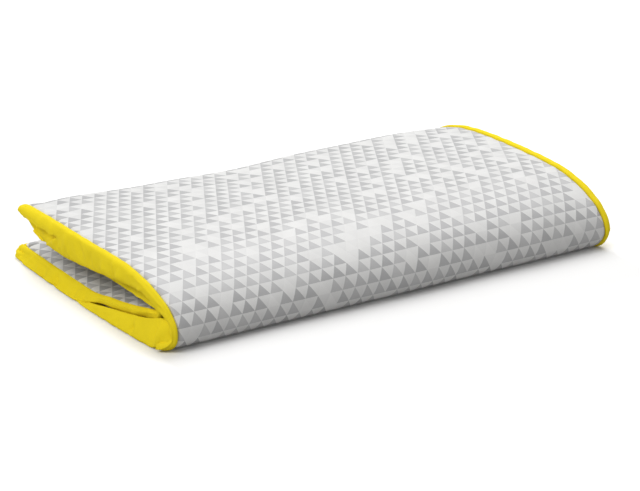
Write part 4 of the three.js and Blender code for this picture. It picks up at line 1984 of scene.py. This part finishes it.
@dataclass
class Studio:
    """Pale floor, soft light and the camera at the photograph's viewing angle, in metres and degrees."""

    location: Triple = (-1.2163557, -1.888085, 0.90512)
    yaw: float = 32.9143
    pitch: float = 21.794
    roll: float = 0.6478
    focal_pixels: float = 2559.1
    image_width: int = 640
    sensor_width: float = 36.0
    view_end: float = 100.0
    room_colour: Triple = (1.0, 0.99, 0.97)
    room_strength: float = 0.41
    floor_size: float = 12.0
    floor_height: float = -0.0004
    floor_grey: float = 0.5
    floor_tone: float = 0.92
    # Painted light: how strongly the floor glows beside and before the pack and far away, which paints out the
    # shadow that falls there.
    floor_lift: float = 0.3
    white_beside: Pair = (0.24, 0.02)
    white_before: Pair = (0.2, 0.15)
    white_far: Pair = (0.5, 1.5)
    far_lift: float = 0.5
    lamp_target: Triple = (0.0, 0.0, 0.02)
    lamps: tuple[Lamp, ...] = (
        Lamp("overhead_softbox", (0.6, 0.6, 1.4), 1.4, 19.0),
        Lamp("left_softbox", (-1.25, -0.2, 1.25), 0.7, 12.0),
    )

    def seen(self, sketch: NodeSketch) -> NodeSocket:
        """Value that is 1 for straight, mirrored and refracted views.

        Args:
            sketch: sketch of the material or the world.

        Returns:
            The value's socket.
        """
        rays = sketch.add("ShaderNodeLightPath")
        straight = sketch.math("MAXIMUM", rays.outputs["Is Camera Ray"], rays.outputs["Is Glossy Ray"])
        return sketch.math("MAXIMUM", straight, rays.outputs["Is Transmission Ray"])

    def world(self) -> None:
        """Pale surroundings that light the cover and look plain white."""
        world = bpy.data.worlds.new("pale_room")
        bpy.context.scene.world = world
        world.use_nodes = True
        sketch = NodeSketch(world.node_tree)
        room = sketch.tree.nodes["Background"]
        white = sketch.add("ShaderNodeBackground")
        for node, colour, strength in (
            (room, self.room_colour, self.room_strength),
            (white, (1.0, 1.0, 1.0), 1.0),
        ):
            node.inputs["Color"].default_value = (*colour, 1.0)
            node.inputs["Strength"].default_value = strength
        mix = sketch.add("ShaderNodeMixShader")
        sketch.join(self.seen(sketch), mix.inputs[0])
        sketch.join(room.outputs[0], mix.inputs[1])
        sketch.join(white.outputs[0], mix.inputs[2])
        sketch.join(mix.outputs[0], sketch.tree.nodes["World Output"].inputs["Surface"])

    def past(self, sketch: NodeSketch, place: NodeSocket, start: float, run: float) -> NodeSocket:
        """Value that rises from 0 to 1 away from the pack.

        Args:
            sketch: sketch of the material.
            place: distance along one axis, on either side of the pack's middle.
            start: distance at which the value starts to rise, in metres.
            run: length over which it rises, in metres.

        Returns:
            The value's socket.
        """
        share = sketch.math("DIVIDE", sketch.math("ADD", sketch.math("ABSOLUTE", place), -start), run)
        return sketch.math("MINIMUM", sketch.math("MAXIMUM", share, 0.0), 1.0)

    def floor(self) -> None:
        """Wide pale floor, lighter for straight and mirrored views, which glows there with painted light beside
        the pack and far from it, so that it looks white away from the pack and keeps the shadow before it.
        """
        bpy.ops.object.select_all(action="DESELECT")
        bpy.ops.mesh.primitive_plane_add(size=self.floor_size, location=(0.0, 0.0, self.floor_height))
        floor = bpy.context.active_object
        floor.name = "studio_floor"
        bpy.ops.object.transform_apply(location=True, rotation=True, scale=True)
        material = bpy.data.materials.new("pale_floor")
        material.use_nodes = True
        tree = material.node_tree
        shader = tree.nodes["Principled BSDF"]
        shader.inputs["Roughness"].default_value = 1.0
        shader.inputs["Specular IOR Level"].default_value = 0.0
        shader.inputs["Emission Color"].default_value = (1.0, 1.0, 1.0, 1.0)
        sketch = NodeSketch(tree)
        seen = self.seen(sketch)
        grey = sketch.add("ShaderNodeCombineColor")
        tone = sketch.math("MULTIPLY_ADD", seen, self.floor_tone - self.floor_grey, self.floor_grey)
        for channel in grey.inputs:
            sketch.join(tone, channel)
        sketch.join(grey.outputs[0], shader.inputs["Base Color"])
        place = sketch.parts(sketch.add("ShaderNodeTexCoord").outputs["Object"])[:2]
        beside = self.past(sketch, place[0], *self.white_beside)
        before = self.past(sketch, place[1], *self.white_before)
        # Painted light: the floor glows for straight and mirrored views away from the pack, which paints out
        # the shadow beside it.
        near = sketch.math("MULTIPLY", sketch.math("MAXIMUM", beside, before), self.floor_lift)
        far = sketch.math("MAXIMUM", *(self.past(sketch, axis, *self.white_far) for axis in place))
        lift = sketch.math("MULTIPLY_ADD", far, self.far_lift, near)
        sketch.join(sketch.math("MULTIPLY", seen, lift), shader.inputs["Emission Strength"])
        floor.data.materials.append(material)

    def camera(self) -> None:
        """Sets up the camera."""
        yaw, pitch = math.radians(self.yaw), math.radians(self.pitch)
        ahead = Vector((math.sin(yaw) * math.cos(pitch), math.cos(yaw) * math.cos(pitch), -math.sin(pitch)))
        turn = ahead.to_track_quat("-Z", "Y") @ Quaternion((0.0, 0.0, 1.0), math.radians(self.roll))
        data = bpy.data.cameras.new("photograph_view")
        data.sensor_width = self.sensor_width
        data.lens = self.focal_pixels / self.image_width * self.sensor_width
        data.clip_end = self.view_end
        camera = bpy.data.objects.new("photograph_view", data)
        camera.location = self.location
        camera.rotation_euler = turn.to_euler()
        bpy.context.scene.collection.objects.link(camera)
        bpy.context.scene.camera = camera

    def build(self) -> None:
        """Sets up the whole studio."""
        self.world()
        self.floor()
        for lamp in self.lamps:
            lamp.hang(self.lamp_target)
        self.camera()
        bpy.context.scene.view_settings.view_transform = "Standard"


# Sections of the end hems: reach past the panel's end and depth below the print.
BOTTOM_END: Table = (
    (0.2, 2.4), (0.4, 0.5), (4.0, 0.1), (8.0, 0.3), (9.0, 1.8), (8.9, 4.6), (8.0, 6.6), (6.0, 7.9),
    (3.0, 7.9), (0.9, 7.0), (0.4, 5.0),
)
INNER_END: Table = (
    (5.6, 5.2), (6.6, 4.8), (8.2, 5.2), (9.0, 6.4), (8.6, 7.6), (6.0, 8.1), (3.0, 8.1), (1.0, 7.7),
    (0.4, 6.9), (2.5, 5.9),
)


def main() -> None:
    """Builds the cover piece by piece and sets up the studio."""
    logging.basicConfig(level=logging.INFO, format="%(message)s")
    weaving = Weaving()
    weave, mottling, triangles = weaving.weave(), weaving.mottling(), weaving.triangles()
    printed = PrintedFinish("printed_cotton", (0.68, 0.68, 0.675), roughness=0.5, specular=0.5, sheen=0.22)
    cover = printed.printed(weave, mottling, triangles)
    felt = ClothFinish("felt_padding", (0.80, 0.77, 0.70), roughness=1.0, threads=700.0)
    padding = felt.make(weave, mottling)
    yellow = ClothFinish("yellow_cotton", (0.87, 0.69, 0.016)).make(weave, mottling)
    cord = ClothFinish("elastic_cord", (0.82, 0.80, 0.74), threads=900.0).make(weave, mottling)
    path = FoldPath(PackSizes(), Unevenness())
    log.info("panel: %s", {stretch.name: round(length, 1) for stretch, length in path.lengths.items()})
    panel = Panel(path)
    panel.build(cover, padding)
    sides = [SideHem(path, side) for side in Side]
    for hem in sides:
        hem.build(yellow, cord)
    level = path.sizes.inner_print
    bottom_end = EndHem(path, "bottom", "lower_ply", 0.0, -1.0, outline=BOTTOM_END, cord_place=(4.4, 4.0))
    inner_end = EndHem(path, "inner", "inner_ply", level, 1.0, outline=INNER_END, cord_place=(4.6, 6.8))
    hems = {
        Length.LOWER: bottom_end.build(yellow, cord)[:1],
        Length.UPPER: [],
        Length.INNER: inner_end.build(yellow, cord)[:1],
    }
    for hem in sides:
        for length, piece in hem.bands.items():
            hems[Length.LOWER if length is Length.BOTTOM else length].append(piece)
    Studio().build()


if __name__ == "__main__":
    main()
